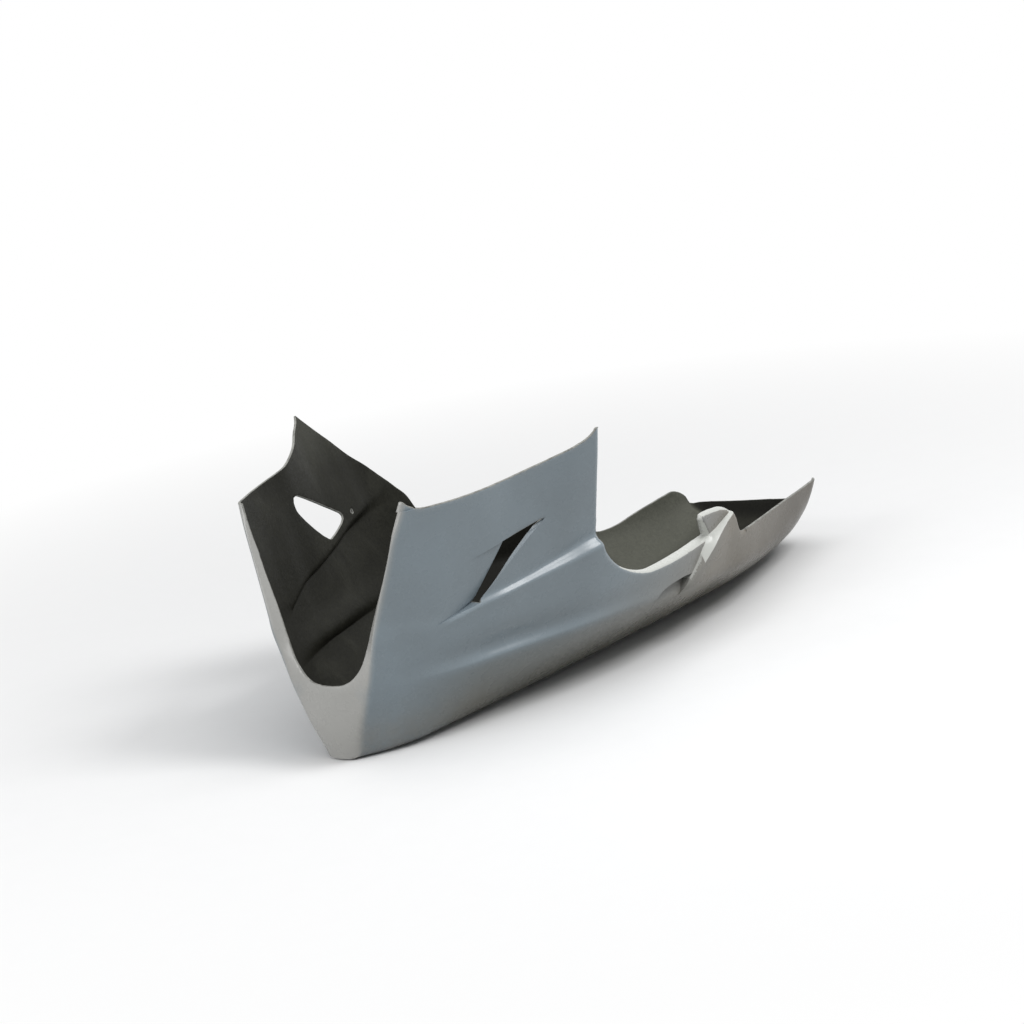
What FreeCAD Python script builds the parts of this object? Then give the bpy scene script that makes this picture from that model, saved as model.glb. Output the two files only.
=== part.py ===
import FreeCAD, Part
import math
import os

# A lower fairing for a motorbike: one moulded glass-fibre pan, open at the top and at the front.
# Lengths are in mm. X points forward, Y to the rider's left and Z up, with the keel on Z = 0.
# "s" below is the distance back from the nose datum, and "half" is measured from the middle plane.

WALL = 3.0            # thickness of the moulding
LENGTH_SCALE = 1.0    # stretches every distance along the bike
WIDTH_SCALE = 1.0     # stretches every distance across it
HEIGHT_SCALE = 1.0    # stretches every height
NOSE_X = 377.85       # where s = 0 lies, so that the origin is under the middle of the whole part
KEEL_FLAT = 56.0      # half width of the flat keel
TRIM_TOP = 345.0      # everything is built up to here and trimmed afterwards
RIM_DEPTH = 10.0      # how far the rim of the left cut-out turns inward

# Feature lines as (s, half, z), read from front to back.
CREASE_LINE = [(-40, 38, 76), (-10, 55, 77), (38, 84, 79), (66, 99, 79), (96, 112, 79), (127, 123, 79.5),
               (161, 132.5, 79), (195, 142, 78.5), (229, 151, 77.5), (266, 159, 77), (301, 164, 76),
               (350, 168, 72), (400, 166, 67), (450, 159, 61), (500, 149, 56), (550, 137, 51),
               (620, 119, 46), (700, 101, 46), (738, 94, 52), (757, 92, 62), (775, 91, 86)]
LEDGE_LINE = [(-40, 58, 138), (-6, 75, 138), (40, 101, 136), (62, 112, 136), (80, 122, 139), (105, 134, 145),
              (131, 146, 149), (163, 155.5, 153), (192, 165.5, 157), (220, 176, 161), (247, 187, 166),
              (280, 195, 171), (310, 200, 176), (350, 199, 181), (400, 192, 183), (450, 182, 182),
              (500, 170, 181), (550, 157, 180), (620, 138, 178), (700, 119, 176), (775, 104, 176)]
LEDGE_STEP = [(-40, 0.8), (58, 0.8), (80, 4), (105, 6), (131, 6), (163, 6.5), (192, 8), (220, 10),
              (247, 12), (270, 11), (300, 7), (330, 3), (365, 1.5), (775, 1.5)]
TOP_LINE = [(-40, 74, 272), (0, 104, 272), (21, 118, 272.5), (52, 134, 272), (81, 146, 271.5),
            (111, 155, 272), (144, 163, 274), (170, 175, 278), (194, 190, 284), (216, 207, 291),
            (238, 221, 303), (270, 236, 312), (310, 246, 320), (400, 246, 320), (775, 150, 320)]
KEEL_RISE = [(-40, 3), (0, 1.2), (40, -0.5), (610, -0.5), (640, 1.2), (672, 5), (704, 12), (738, 28), (757, 47),
             (775, 84)]
KEEL_SHARE = [(-40, 0.2), (-6, 0.4), (30, 0.8), (60, 1.0), (620, 1.0), (700, 1.05), (775, 1.15)]

# How far the left side swells outward in front of and behind the step of the tail panel.
LEFT_SWELL = [(440, 0), (470, 0.5), (500, 3), (520, 8), (550, 15), (600, 15), (650, 12), (720, 6), (765, 1),
              (775, 0.5)]
SWELL_AT_CREASE = [(420, 0.2), (490, 0.25), (560, 0.7), (775, 0.7)]
TAIL_SWELL = [(404, 0), (422, 13), (440, 19), (470, 20.5), (500, 20), (520, 19), (550, 16.5), (600, 15),
              (650, 12), (720, 6), (765, 1), (775, 0.5)]

# The leading ridge and the edge of the front lips as (z, s, half), and the middle of the chin.
RIDGE = [(-30, -6, 14), (3, -6, 23), (41, -10, 41), (77, -10, 54), (111, -7.5, 63.5), (147, -6, 75),
         (180, -2, 86), (213, 4, 97), (244, 11, 107), (273, 21, 119), (345, 46, 146)]
LIP = [(-30, -11, 8), (3, -11, 13), (41, -14.5, 24), (77, -11, 34), (103, -5, 46), (127, 0, 57), (152, 4.5, 66),
       (177, 8.7, 76), (201, 12.6, 86), (225, 16.5, 95), (250, 18.6, 104), (273, 23, 113), (345, 44, 138)]
CHIN_MIDDLE = [(-30, -13), (3, -13), (41, -16.5), (77, -14), (103, -5), (152, 18), (201, 38), (273, 64), (345, 88)]

# Trimmed edges as side views in (s, z), and the front opening and stern notch as views in (half, z).
TOP_EDGE = [(-60, 273), (22, 273), (52, 272), (81, 271.5), (111, 272), (144, 274), (170, 278.5), (194, 284),
            (216, 291), (230, 297.5), (238, 306)]
LEFT_CORNER = [(-60, 290), (20, 290), (30, 279), (40, 273.5)]
LEFT_EDGE = [(238, 299), (242, 274), (246, 250), (250, 226), (254, 201), (257, 186), (258, 178), (255, 172),
             (259, 158), (275, 139), (293, 126), (314, 116), (336, 109), (354, 107.5), (388, 106), (419, 107),
             (435, 108), (440, 112), (442, 120), (442, 131), (446, 135.5), (452, 136.5), (480, 133.5),
             (496, 131), (509, 127), (516, 121), (519, 113), (521, 99), (527, 93), (545, 91), (672, 85),
             (735, 82), (758, 79), (765, 76), (790, 76)]
RIGHT_EDGE = [(240, 300), (248, 291.5), (278, 260), (302, 236.5), (323, 215), (341, 196), (352, 182), (364, 166),
              (372, 146), (390, 129), (420, 114), (460, 98), (540, 66), (600, 50), (664, 59), (700, 64),
              (713, 66), (727, 67), (738, 60), (745, 46), (790, 46)]
OPENING = [(0, 84), (14, 84.5), (24, 86.5), (33, 91), (41, 98), (48, 107), (57, 127), (66, 152), (76, 177),
           (86, 201), (95, 225), (104, 250), (114, 275), (146, 360)]
STERN_NOTCH = [(78, 120), (70, 66), (60, 55), (-35, 47.5), (-62, 45.5), (-100, 45), (-100, 120)]
SCREW_HOLE = (258, -174, 186)    # where the right side panel is screwed to the bike, above the ledge
SCREW_HOLE_RADIUS = 3.0
RIGHT_VENT = [(144, 238), (152, 239.5), (161, 236), (233, 194), (238, 189), (237, 184.5), (200, 173.5),
              (194, 174), (147, 219), (143, 229)]

# The left louvre: a flap dished inward from the skin, an open slot behind it and a turned-in lip.
FLAP_TOP_FRONT = (89, 132, 195)
FLAP_FOOT_FRONT = (53, 107, 136)
FLAP_TOP_REAR = (136, 138, 198)
FLAP_FOOT_REAR = (106, 117, 147)
SLOT_FOOT = (109, 131, 151)
SLOT_TOP = (195, 169, 219)
SLOT_LIP = (189, 154, 211)
TAIL_STEP = [(404, 62), (410, 66), (424, 79), (433, 87), (481, 113), (501, 119), (516, 121)]
SCOOP = [(351, 64), (366, 77), (434, 75), (418, 61)]
SCOOP_FLOOR = ((351, 161, 64), (418, 158, 61), (434, 154, 75))


def blend(table, column=1):
    """A smooth curve without overshoot through a column of a table, as a function of the first column."""
    xs = [float(row[0]) for row in table]
    ys = [float(row[column]) for row in table]
    steps = [(ys[i + 1] - ys[i]) / (xs[i + 1] - xs[i]) for i in range(len(xs) - 1)]
    tangents = [steps[0]]
    for before, after in zip(steps, steps[1:]):
        tangents.append(0.0 if before * after <= 0 else 2 * before * after / (before + after))
    tangents.append(steps[-1])

    def value(x):
        x = min(max(x, xs[0]), xs[-1])
        i = 0
        while i < len(steps) - 1 and x > xs[i + 1]:
            i += 1
        h = xs[i + 1] - xs[i]
        t = (x - xs[i]) / h
        return ((1 + 2 * t) * (1 - t) ** 2 * ys[i] + t * (1 - t) ** 2 * h * tangents[i]
                + t * t * (3 - 2 * t) * ys[i + 1] + t * t * (t - 1) * h * tangents[i + 1])

    return value


crease_half, crease_z = blend(CREASE_LINE, 1), blend(CREASE_LINE, 2)
ledge_half, ledge_z = blend(LEDGE_LINE, 1), blend(LEDGE_LINE, 2)
ledge_step = blend(LEDGE_STEP)
top_half, top_z = blend(TOP_LINE, 1), blend(TOP_LINE, 2)
keel_rise, keel_share = blend(KEEL_RISE), blend(KEEL_SHARE)
left_swell, tail_swell, swell_at_crease = blend(LEFT_SWELL), blend(TAIL_SWELL), blend(SWELL_AT_CREASE)
ridge_s, ridge_half = blend(RIDGE, 1), blend(RIDGE, 2)
lip_s, lip_half = blend(LIP, 1), blend(LIP, 2)
chin_s = blend(CHIN_MIDDLE)


def at(s, half, z):
    """The point at a distance back, a signed half breadth (left positive) and a height."""
    return FreeCAD.Vector(NOSE_X - s * LENGTH_SCALE, half * WIDTH_SCALE, z * HEIGHT_SCALE)


def shrink(outline, by):
    """An open outline of two coordinates moved to its left-hand side by a distance, corner by corner."""
    moved = []
    for i in range(len(outline)):
        normals = []
        for a, b in ((i - 1, i), (i, i + 1)):
            if a >= 0 and b < len(outline):
                du, dv = outline[b][0] - outline[a][0], outline[b][1] - outline[a][1]
                n = math.hypot(du, dv)
                normals.append((-dv / n, du / n))
        first, last = normals[0], normals[-1]
        k = by / (1 + first[0] * last[0] + first[1] * last[1])
        moved.append((outline[i][0] + k * (first[0] + last[0]), outline[i][1] + k * (first[1] + last[1])))
    return moved


def half_outline(s, swell=0.0):
    """The outer half section at s, from the middle of the keel to above the top edge, in nine corners."""
    keel, low = KEEL_FLAT * keel_share(s), keel_rise(s)
    cy, cz = crease_half(s) + swell_at_crease(s) * swell, crease_z(s)
    ly, lz = ledge_half(s) + swell, ledge_z(s)
    step = ledge_step(s)
    ty, tz = top_half(s), top_z(s)
    iy, iz = ly - step, lz + 0.9 * step
    slope = (ty - iy) / (tz - iz)
    full = min(max((s + 10) / 70.0, 0.0), 1.0)
    return [(0.0, low), (keel, low), (keel + (0.14 + 0.16 * full) * (cy - keel), low + 0.14 * (cz - low)),
            (cy - (0.22 - 0.10 * full) * (cy - keel), cz - 0.22 * (cz - low)), (cy, cz),
            (ly, lz), (iy, iz), (ty, tz), (ty + slope * (TRIM_TOP - tz), TRIM_TOP)]


def section(s, inset, swell):
    """The closed section wire at s, moved inward by the inset, with a swell on the left side only."""
    halves = []
    for extra in (swell, 0.0):
        half = half_outline(s, extra)
        if inset:
            half = shrink(half, inset)
            half[0] = (0.0, half[0][1])
            half[-1] = (half[-1][0], TRIM_TOP + 5)
        halves.append(half)
    left, right = halves
    ring = left[:0:-1] + [left[0]] + [(-y, z) for y, z in right[1:]]
    points = [at(s, y, z) for y, z in ring]
    return Part.makePolygon(points + points[:1])


FRONT_STATIONS = [-40, -20, 0, 20, 40, 60, 80, 105, 131, 163, 192, 220, 247, 275, 305, 350, 385, 404]
TAB_STATIONS = [404, 422, 440, 470, 500, 525, 550]
TAIL_STATIONS = [404, 422, 440, 470, 500, 525, 550, 600, 640, 672, 704, 738, 757, 775]


def hull(inset, stations, swell):
    """The full volume inside the outer skin between the first and last station, moved inward by an inset."""
    return Part.makeLoft([section(s, inset, swell(s)) for s in stations], True, False, False)


def front_hull(inset):
    """The volume in front of the tail panel, as far back as the foot of its step."""
    return hull(inset, FRONT_STATIONS, left_swell)


def tab_hull(inset):
    """The volume behind the tab, which carries the front skin on above the tail panel's step."""
    return hull(inset, TAB_STATIONS, left_swell)


def tail_hull(inset):
    """The volume inside the tail, whose left side swells out to the tail panel."""
    return hull(inset, TAIL_STATIONS, tail_swell)


def behind_front(inset):
    """Everything behind the front face: the chin below and the two lips beside the opening above."""
    wires = []
    for z in range(-30, 346, 15):
        rs, ry, es, ey, ms = ridge_s(z), ridge_half(z), lip_s(z), lip_half(z), chin_s(z)
        reach = (rs - es) / (ry - ey) * 45
        front = Part.BSplineCurve()
        front.interpolate([at(rs + inset, ry, z), at(es + inset, ey, z), at(ms + inset, 0, z),
                           at(es + inset, -ey, z), at(rs + inset, -ry, z)])
        around = [at(rs + inset, -ry, z), at(rs + reach + inset, -ry - 45, z), at(rs + reach + inset, -420, z),
                  at(900, -420, z), at(900, 420, z), at(rs + reach + inset, 420, z),
                  at(rs + reach + inset, ry + 45, z), at(rs + inset, ry, z)]
        edges = [Part.makeLine(a, b) for a, b in zip(around, around[1:])]
        wires.append(Part.Wire([front.toShape()] + edges))
    return Part.makeLoft(wires, True, False, False)


def side_prism(outline, low, high):
    """A side-view outline in (s, z) carried across the bike from one signed half breadth to the other."""
    face = Part.Face(Part.makePolygon([at(s, low, z) for s, z in outline + outline[:1]]))
    return face.extrude(at(0, high, 0) - at(0, low, 0))


def front_prism(outline, start, end):
    """A front-view outline in (half, z) carried along the bike from one distance back to another."""
    face = Part.Face(Part.makePolygon([at(start, y, z) for y, z in outline + outline[:1]]))
    return face.extrude(at(end, 0, 0) - at(start, 0, 0))


def dish(corners, floor, low):
    """A prism outward to the left from a flat floor through three points, over a side-view outline."""
    (s0, h0, z0), (s1, h1, z1), (s2, h2, z2) = floor
    det = (s1 - s0) * (z2 - z0) - (s2 - s0) * (z1 - z0)
    by_s = ((h1 - h0) * (z2 - z0) - (h2 - h0) * (z1 - z0)) / det
    by_z = ((s1 - s0) * (h2 - h0) - (s2 - s0) * (h1 - h0)) / det
    points = [at(s, h0 + by_s * (s - s0) + by_z * (z - z0) - low, z) for s, z in corners + corners[:1]]
    return Part.Face(Part.makePolygon(points)).extrude(at(0, 200, 0) - at(0, 0, 0))


def louvre(shell, outer):
    """The left louvre: the dished flap with its roof and floor, the open slot and the lip behind it."""
    plane = (FLAP_TOP_FRONT, FLAP_FOOT_FRONT, FLAP_FOOT_REAR)
    flap = [(p[0], p[2]) for p in (FLAP_TOP_FRONT, FLAP_FOOT_FRONT, FLAP_FOOT_REAR, FLAP_TOP_REAR)]
    (s0, z0), (s1, z1), (s2, z2), (s3, z3) = flap
    around = [(s0 - 4, z0 + WALL), (s1 - 6, z1 - WALL), (s2, z2 - WALL), (s3, z3 + WALL)]
    past = [flap[0], flap[1], (s2 + 4, z2 + 1), (s3 + 4, z3 + 1)]
    walls = dish(around, plane, WALL).common(outer).cut(dish(past, plane, 0.0))
    slot = [flap[2], (SLOT_FOOT[0], SLOT_FOOT[2]), (SLOT_TOP[0], SLOT_TOP[2]), flap[3]]
    shell = shell.cut(dish([flap[0], flap[1], flap[2], flap[3]], plane, 40.0)).cut(side_prism(slot, 60, 300))
    lip = Part.Face(Part.makePolygon([at(*SLOT_TOP), at(*SLOT_FOOT), at(*SLOT_LIP), at(*SLOT_TOP)]))
    lip = lip.extrude(at(1.9, 0, -2.4) - at(0, 0, 0))
    return shell.fuse([walls, lip.common(outer)])


def scoop(shell, outer):
    """The shallow recess under the left cut-out, deepest along its roof, with a wall behind it."""
    front, top, back, foot = SCOOP
    around = [(front[0] - 4, front[1] - WALL), (top[0] - 3, top[1] + WALL), (back[0] + 4, back[1] + WALL),
              (foot[0] + 4, foot[1] - WALL)]
    walls = dish(around, SCOOP_FLOOR, WALL).common(outer)
    return shell.fuse(walls).cut(dish(SCOOP, SCOOP_FLOOR, 0.0))


def step_wall():
    """The wall along the step, from the front skin out to the tail panel that stands proud of it."""
    band = TAIL_STEP + shrink(TAIL_STEP, -WALL)[::-1]
    return side_prism(band, 60, 300).common(tail_hull(0.0)).cut(tab_hull(WALL))


def rim(outer, inner):
    """The inward-turned rim along the foot of the left cut-out and around the tab."""
    path = [p for p in LEFT_EDGE if 290 <= p[0] <= 516 and p[1] < 140]
    band = path + shrink(path, -WALL)[::-1]
    return side_prism(band, 60, 300).common(outer).cut(inner)


def screw_hole():
    """A drill-through for the right panel's screw, square to the panel there."""
    across = FreeCAD.Vector(-0.2, -0.9, -0.38)
    return Part.makeCylinder(SCREW_HOLE_RADIUS, 60, at(*SCREW_HOLE) - across * 25, across)


def build():
    """The whole fairing as one solid."""
    above_step = side_prism(TAIL_STEP + [(TAIL_STEP[-1][0], 400), (TAIL_STEP[0][0], 400)], 0, 300)
    front = front_hull(0.0).common(behind_front(0.0))
    front_inner = front_hull(WALL).common(behind_front(WALL * 1.35))
    tab, tab_inner = tab_hull(0.0).common(above_step), tab_hull(WALL).common(above_step)
    opening = OPENING[::-1] + [(-y, z) for y, z in OPENING[1:]]
    ahead = front.cut(front_inner).cut(front_prism(opening, -80, 95))
    ahead = louvre(ahead, front).fuse(tab.cut(tab_inner))
    outer = front.fuse(tab)
    ahead = scoop(ahead, outer)
    tail = tail_hull(0.0).cut(tail_hull(WALL)).cut(above_step)
    depth = WALL + RIM_DEPTH
    turned = rim(outer, front_hull(depth).fuse(tab_hull(depth).common(above_step)))
    shell = ahead.fuse([tail, step_wall(), turned])
    left, right = LEFT_CORNER + TOP_EDGE[2:] + LEFT_EDGE, TOP_EDGE + RIGHT_EDGE
    for sign, edge in ((1, left), (-1, right)):
        shell = shell.cut(side_prism(edge + [(820, 400), (-60, 400)], 0, sign * 300))
    shell = shell.cut(side_prism(RIGHT_VENT, -60, -300)).cut(screw_hole())
    shell = shell.cut(front_prism(STERN_NOTCH, 741, 800))
    shell = shell.cut(front_prism([(-120, -20), (120, -20), (120, 0), (-120, 0)], -60, 800))
    return shell.removeSplitter()


os.makedirs("parts", exist_ok=True)
fairing = build()
fairing.exportStep("parts/fairing_shell.step")
print("fairing_shell", fairing.isValid(), len(fairing.Solids), round(fairing.Volume), fairing.BoundBox)
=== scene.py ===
import logging
import math
from dataclasses import dataclass, field
from enum import Enum, IntEnum
from typing import Callable, Optional, Sequence

import bpy
import numpy as np
from mathutils import Matrix, Vector


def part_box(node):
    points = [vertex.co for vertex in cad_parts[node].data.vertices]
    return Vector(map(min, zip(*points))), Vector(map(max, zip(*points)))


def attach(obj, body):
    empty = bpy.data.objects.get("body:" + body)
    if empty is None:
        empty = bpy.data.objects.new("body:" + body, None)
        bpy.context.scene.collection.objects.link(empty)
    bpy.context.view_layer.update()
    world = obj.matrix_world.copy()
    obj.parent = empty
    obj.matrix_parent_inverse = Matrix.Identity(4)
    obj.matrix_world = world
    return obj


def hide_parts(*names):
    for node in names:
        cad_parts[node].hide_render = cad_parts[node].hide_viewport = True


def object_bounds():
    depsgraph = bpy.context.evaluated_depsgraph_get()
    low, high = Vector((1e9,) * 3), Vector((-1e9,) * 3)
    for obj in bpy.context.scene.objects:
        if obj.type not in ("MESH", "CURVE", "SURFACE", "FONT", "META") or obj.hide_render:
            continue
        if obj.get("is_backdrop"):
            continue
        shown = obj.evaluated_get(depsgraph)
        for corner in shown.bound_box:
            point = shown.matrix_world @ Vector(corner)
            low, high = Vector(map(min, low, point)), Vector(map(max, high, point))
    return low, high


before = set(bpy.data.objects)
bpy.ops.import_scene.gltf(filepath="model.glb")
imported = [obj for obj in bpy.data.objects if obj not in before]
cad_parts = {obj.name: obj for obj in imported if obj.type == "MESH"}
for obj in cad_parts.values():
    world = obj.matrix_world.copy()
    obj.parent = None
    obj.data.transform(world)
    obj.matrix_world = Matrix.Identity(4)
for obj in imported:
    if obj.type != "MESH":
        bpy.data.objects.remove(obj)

# A lower fairing for a motorbike: one glass-fibre moulding, grey outside and bare laminate inside.
# Shapes are worked out in mm as (s, half, z): the distance back from the nose datum, the breadth from
# the middle plane and the height. Blender's metres come in only when a mesh is made.

log = logging.getLogger("lower_fairing")
logging.basicConfig(level=logging.INFO, format="%(name)s: %(message)s")

Row = tuple[float, ...]
Rows = Sequence[Row]
Socket = bpy.types.NodeSocket
Field = Callable[[np.ndarray, np.ndarray, np.ndarray], np.ndarray]


class Side(Enum):
    """The two halves of the hull, named from the rider's seat."""

    LEFT = 1
    RIGHT = -1


class Zone(IntEnum):
    """What a patch of the outer skin belongs to, which decides how far out it stands."""

    HOLE = -1
    SKIN = 0
    FLAP = 1
    SCOOP = 2
    JOGGLE = 3


class Face(IntEnum):
    """The finish a face of the moulding takes, as its material number."""

    OUTSIDE = 0
    INSIDE = 1
    TRIMMED = 2


def rising(x: np.ndarray, start: float, end: float) -> np.ndarray:
    """Nothing at the start and one at the end, straight between them and level beyond."""
    return np.clip((x - start) / (end - start), 0, 1)


def edge_key(first: np.ndarray, second: np.ndarray, count: int) -> np.ndarray:
    """One whole number for each directed edge between two of so many vertices."""
    return first.astype(np.int64) * count + second


class Curve:
    """A smooth curve through the rows of a table that never overshoots between them."""

    def __init__(self, rows: Rows, column: int = 1) -> None:
        """Fits the curve.

        Args:
            rows: the table, whose first column rises.
            column: the column whose values the curve passes through.
        """
        table = np.asarray(rows, float)
        self.x, self.y = table[:, 0], table[:, column]
        slope = np.diff(self.y) / np.diff(self.x)
        before, after = slope[:-1], slope[1:]
        turning = before * after <= 0
        total = np.where(turning, 1.0, before + after)
        middle = np.where(turning, 0.0, 2 * before * after / total)
        self.tangent = np.concatenate([slope[:1], middle, slope[-1:]])

    def __call__(self, x: np.ndarray) -> np.ndarray:
        """The curve's value: between two rows, the cubic with their values and their tangents.

        Args:
            x: where, held level past both ends.

        Returns:
            The value at each x.
        """
        x = np.clip(np.asarray(x, float), self.x[0], self.x[-1])
        i = np.clip(np.searchsorted(self.x, x, side="right") - 1, 0, len(self.x) - 2)
        h = self.x[i + 1] - self.x[i]
        t = (x - self.x[i]) / h
        start = (1 + 2 * t) * (1 - t) ** 2 * self.y[i] + t * (1 - t) ** 2 * h * self.tangent[i]
        end = t * t * (3 - 2 * t) * self.y[i + 1] + t * t * (t - 1) * h * self.tangent[i + 1]
        return start + end


def smoothed(points: Rows, per: int = 5, closed: bool = False) -> np.ndarray:
    """An outline with its corners eased: centripetal cubics that pass through every given point.

    Args:
        points: the corners in two coordinates.
        per: how many short pieces each stretch becomes.
        closed: whether the last point joins the first.

    Returns:
        The eased outline as an array of points, without a repeated end.
    """
    p = np.asarray(points, float)
    if closed:
        ring = np.vstack([p[-1], p, p[:2]])
    else:
        ring = np.vstack([2 * p[0] - p[1], p, 2 * p[-1] - p[-2]])
    a, b, c, d = ring[:-3], ring[1:-2], ring[2:-1], ring[3:]
    root = [np.sqrt(np.linalg.norm(y - x, axis=1))[:, None] + 1e-9 for x, y in ((a, b), (b, c), (c, d))]
    leave = ((b - a) / root[0] - (c - a) / (root[0] + root[1]) + (c - b) / root[1]) * root[1]
    reach = ((c - b) / root[1] - (d - b) / (root[1] + root[2]) + (d - c) / root[2]) * root[1]
    t = (np.arange(per) / per)[None, :, None]
    h00, h10 = 2 * t ** 3 - 3 * t ** 2 + 1, t ** 3 - 2 * t ** 2 + t
    h01, h11 = 3 * t ** 2 - 2 * t ** 3, t ** 3 - t ** 2
    eased = (h00 * b[:, None] + h10 * leave[:, None] + h01 * c[:, None] + h11 * reach[:, None]).reshape(-1, 2)
    return eased if closed else np.vstack([eased, p[-1]])


def line_distance(x: np.ndarray, y: np.ndarray, outline: np.ndarray) -> tuple[np.ndarray, np.ndarray]:
    """The distance of points from an open outline, and which side of it they are on.

    Args:
        x: first coordinates of the points.
        y: second coordinates of the points.
        outline: the outline's points in order.

    Returns:
        The plain distance, and the same with a plus sign on the outline's left-hand side.
    """
    best = np.full(x.shape, 1e9)
    signed = np.zeros(x.shape)
    for a, b in zip(outline[:-1], outline[1:]):
        d = b - a
        length = max(float(np.hypot(*d)), 1e-9)
        px, py = x - a[0], y - a[1]
        t = np.clip((px * d[0] + py * d[1]) / length ** 2, 0, 1)
        gap = np.hypot(px - t * d[0], py - t * d[1])
        side = (d[0] * py - d[1] * px) / length
        # Where two pieces are equally near, the one seen more squarely decides the side.
        closer = (gap < best - 1e-9) | ((gap < best + 1e-9) & (np.abs(side) > np.abs(signed)))
        best = np.where(closer, gap, best)
        signed = np.where(closer, side, signed)
    return best, np.where(signed < 0, -best, best)


def inside_polygon(x: np.ndarray, y: np.ndarray, outline: np.ndarray) -> np.ndarray:
    """The distance into a closed outline: plus inside, minus outside.

    Args:
        x: first coordinates of the points.
        y: second coordinates of the points.
        outline: the outline's corners in order.

    Returns:
        The signed distance of each point, inside where a line from it crosses an odd number of edges.
    """
    ring = np.vstack([outline, outline[:1]])
    crossings = np.zeros(x.shape, int)
    for a, b in zip(ring[:-1], ring[1:]):
        if a[1] == b[1]:
            continue
        between = (a[1] > y) != (b[1] > y)
        at = a[0] + (y - a[1]) / (b[1] - a[1]) * (b[0] - a[0])
        crossings += between & (x < at)
    gap, _ = line_distance(x, y, ring)
    return np.where(crossings % 2 == 1, gap, -gap)


def plane_half(s: np.ndarray, z: np.ndarray, corners: tuple[Row, Row, Row]) -> np.ndarray:
    """The breadth at (s, z) of the flat through three points.

    Args:
        s: distances back.
        z: heights.
        corners: the three points.

    Returns:
        The first point's breadth plus a slope along s and a slope along z.
    """
    (s0, h0, z0), (s1, h1, z1), (s2, h2, z2) = corners
    det = (s1 - s0) * (z2 - z0) - (s2 - s0) * (z1 - z0)
    by_s = ((h1 - h0) * (z2 - z0) - (h2 - h0) * (z1 - z0)) / det
    by_z = ((s1 - s0) * (h2 - h0) - (s2 - s0) * (h1 - h0)) / det
    return h0 + by_s * (s - s0) + by_z * (z - z0)


def soft_least(a: np.ndarray, b: np.ndarray, width: float) -> np.ndarray:
    """The lesser of two values, eased over a width where they are close."""
    mix = np.clip((b - a) / width, -1, 1)
    return np.minimum(a, b) - width * (1 - np.abs(mix)) ** 2 / 4


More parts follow.
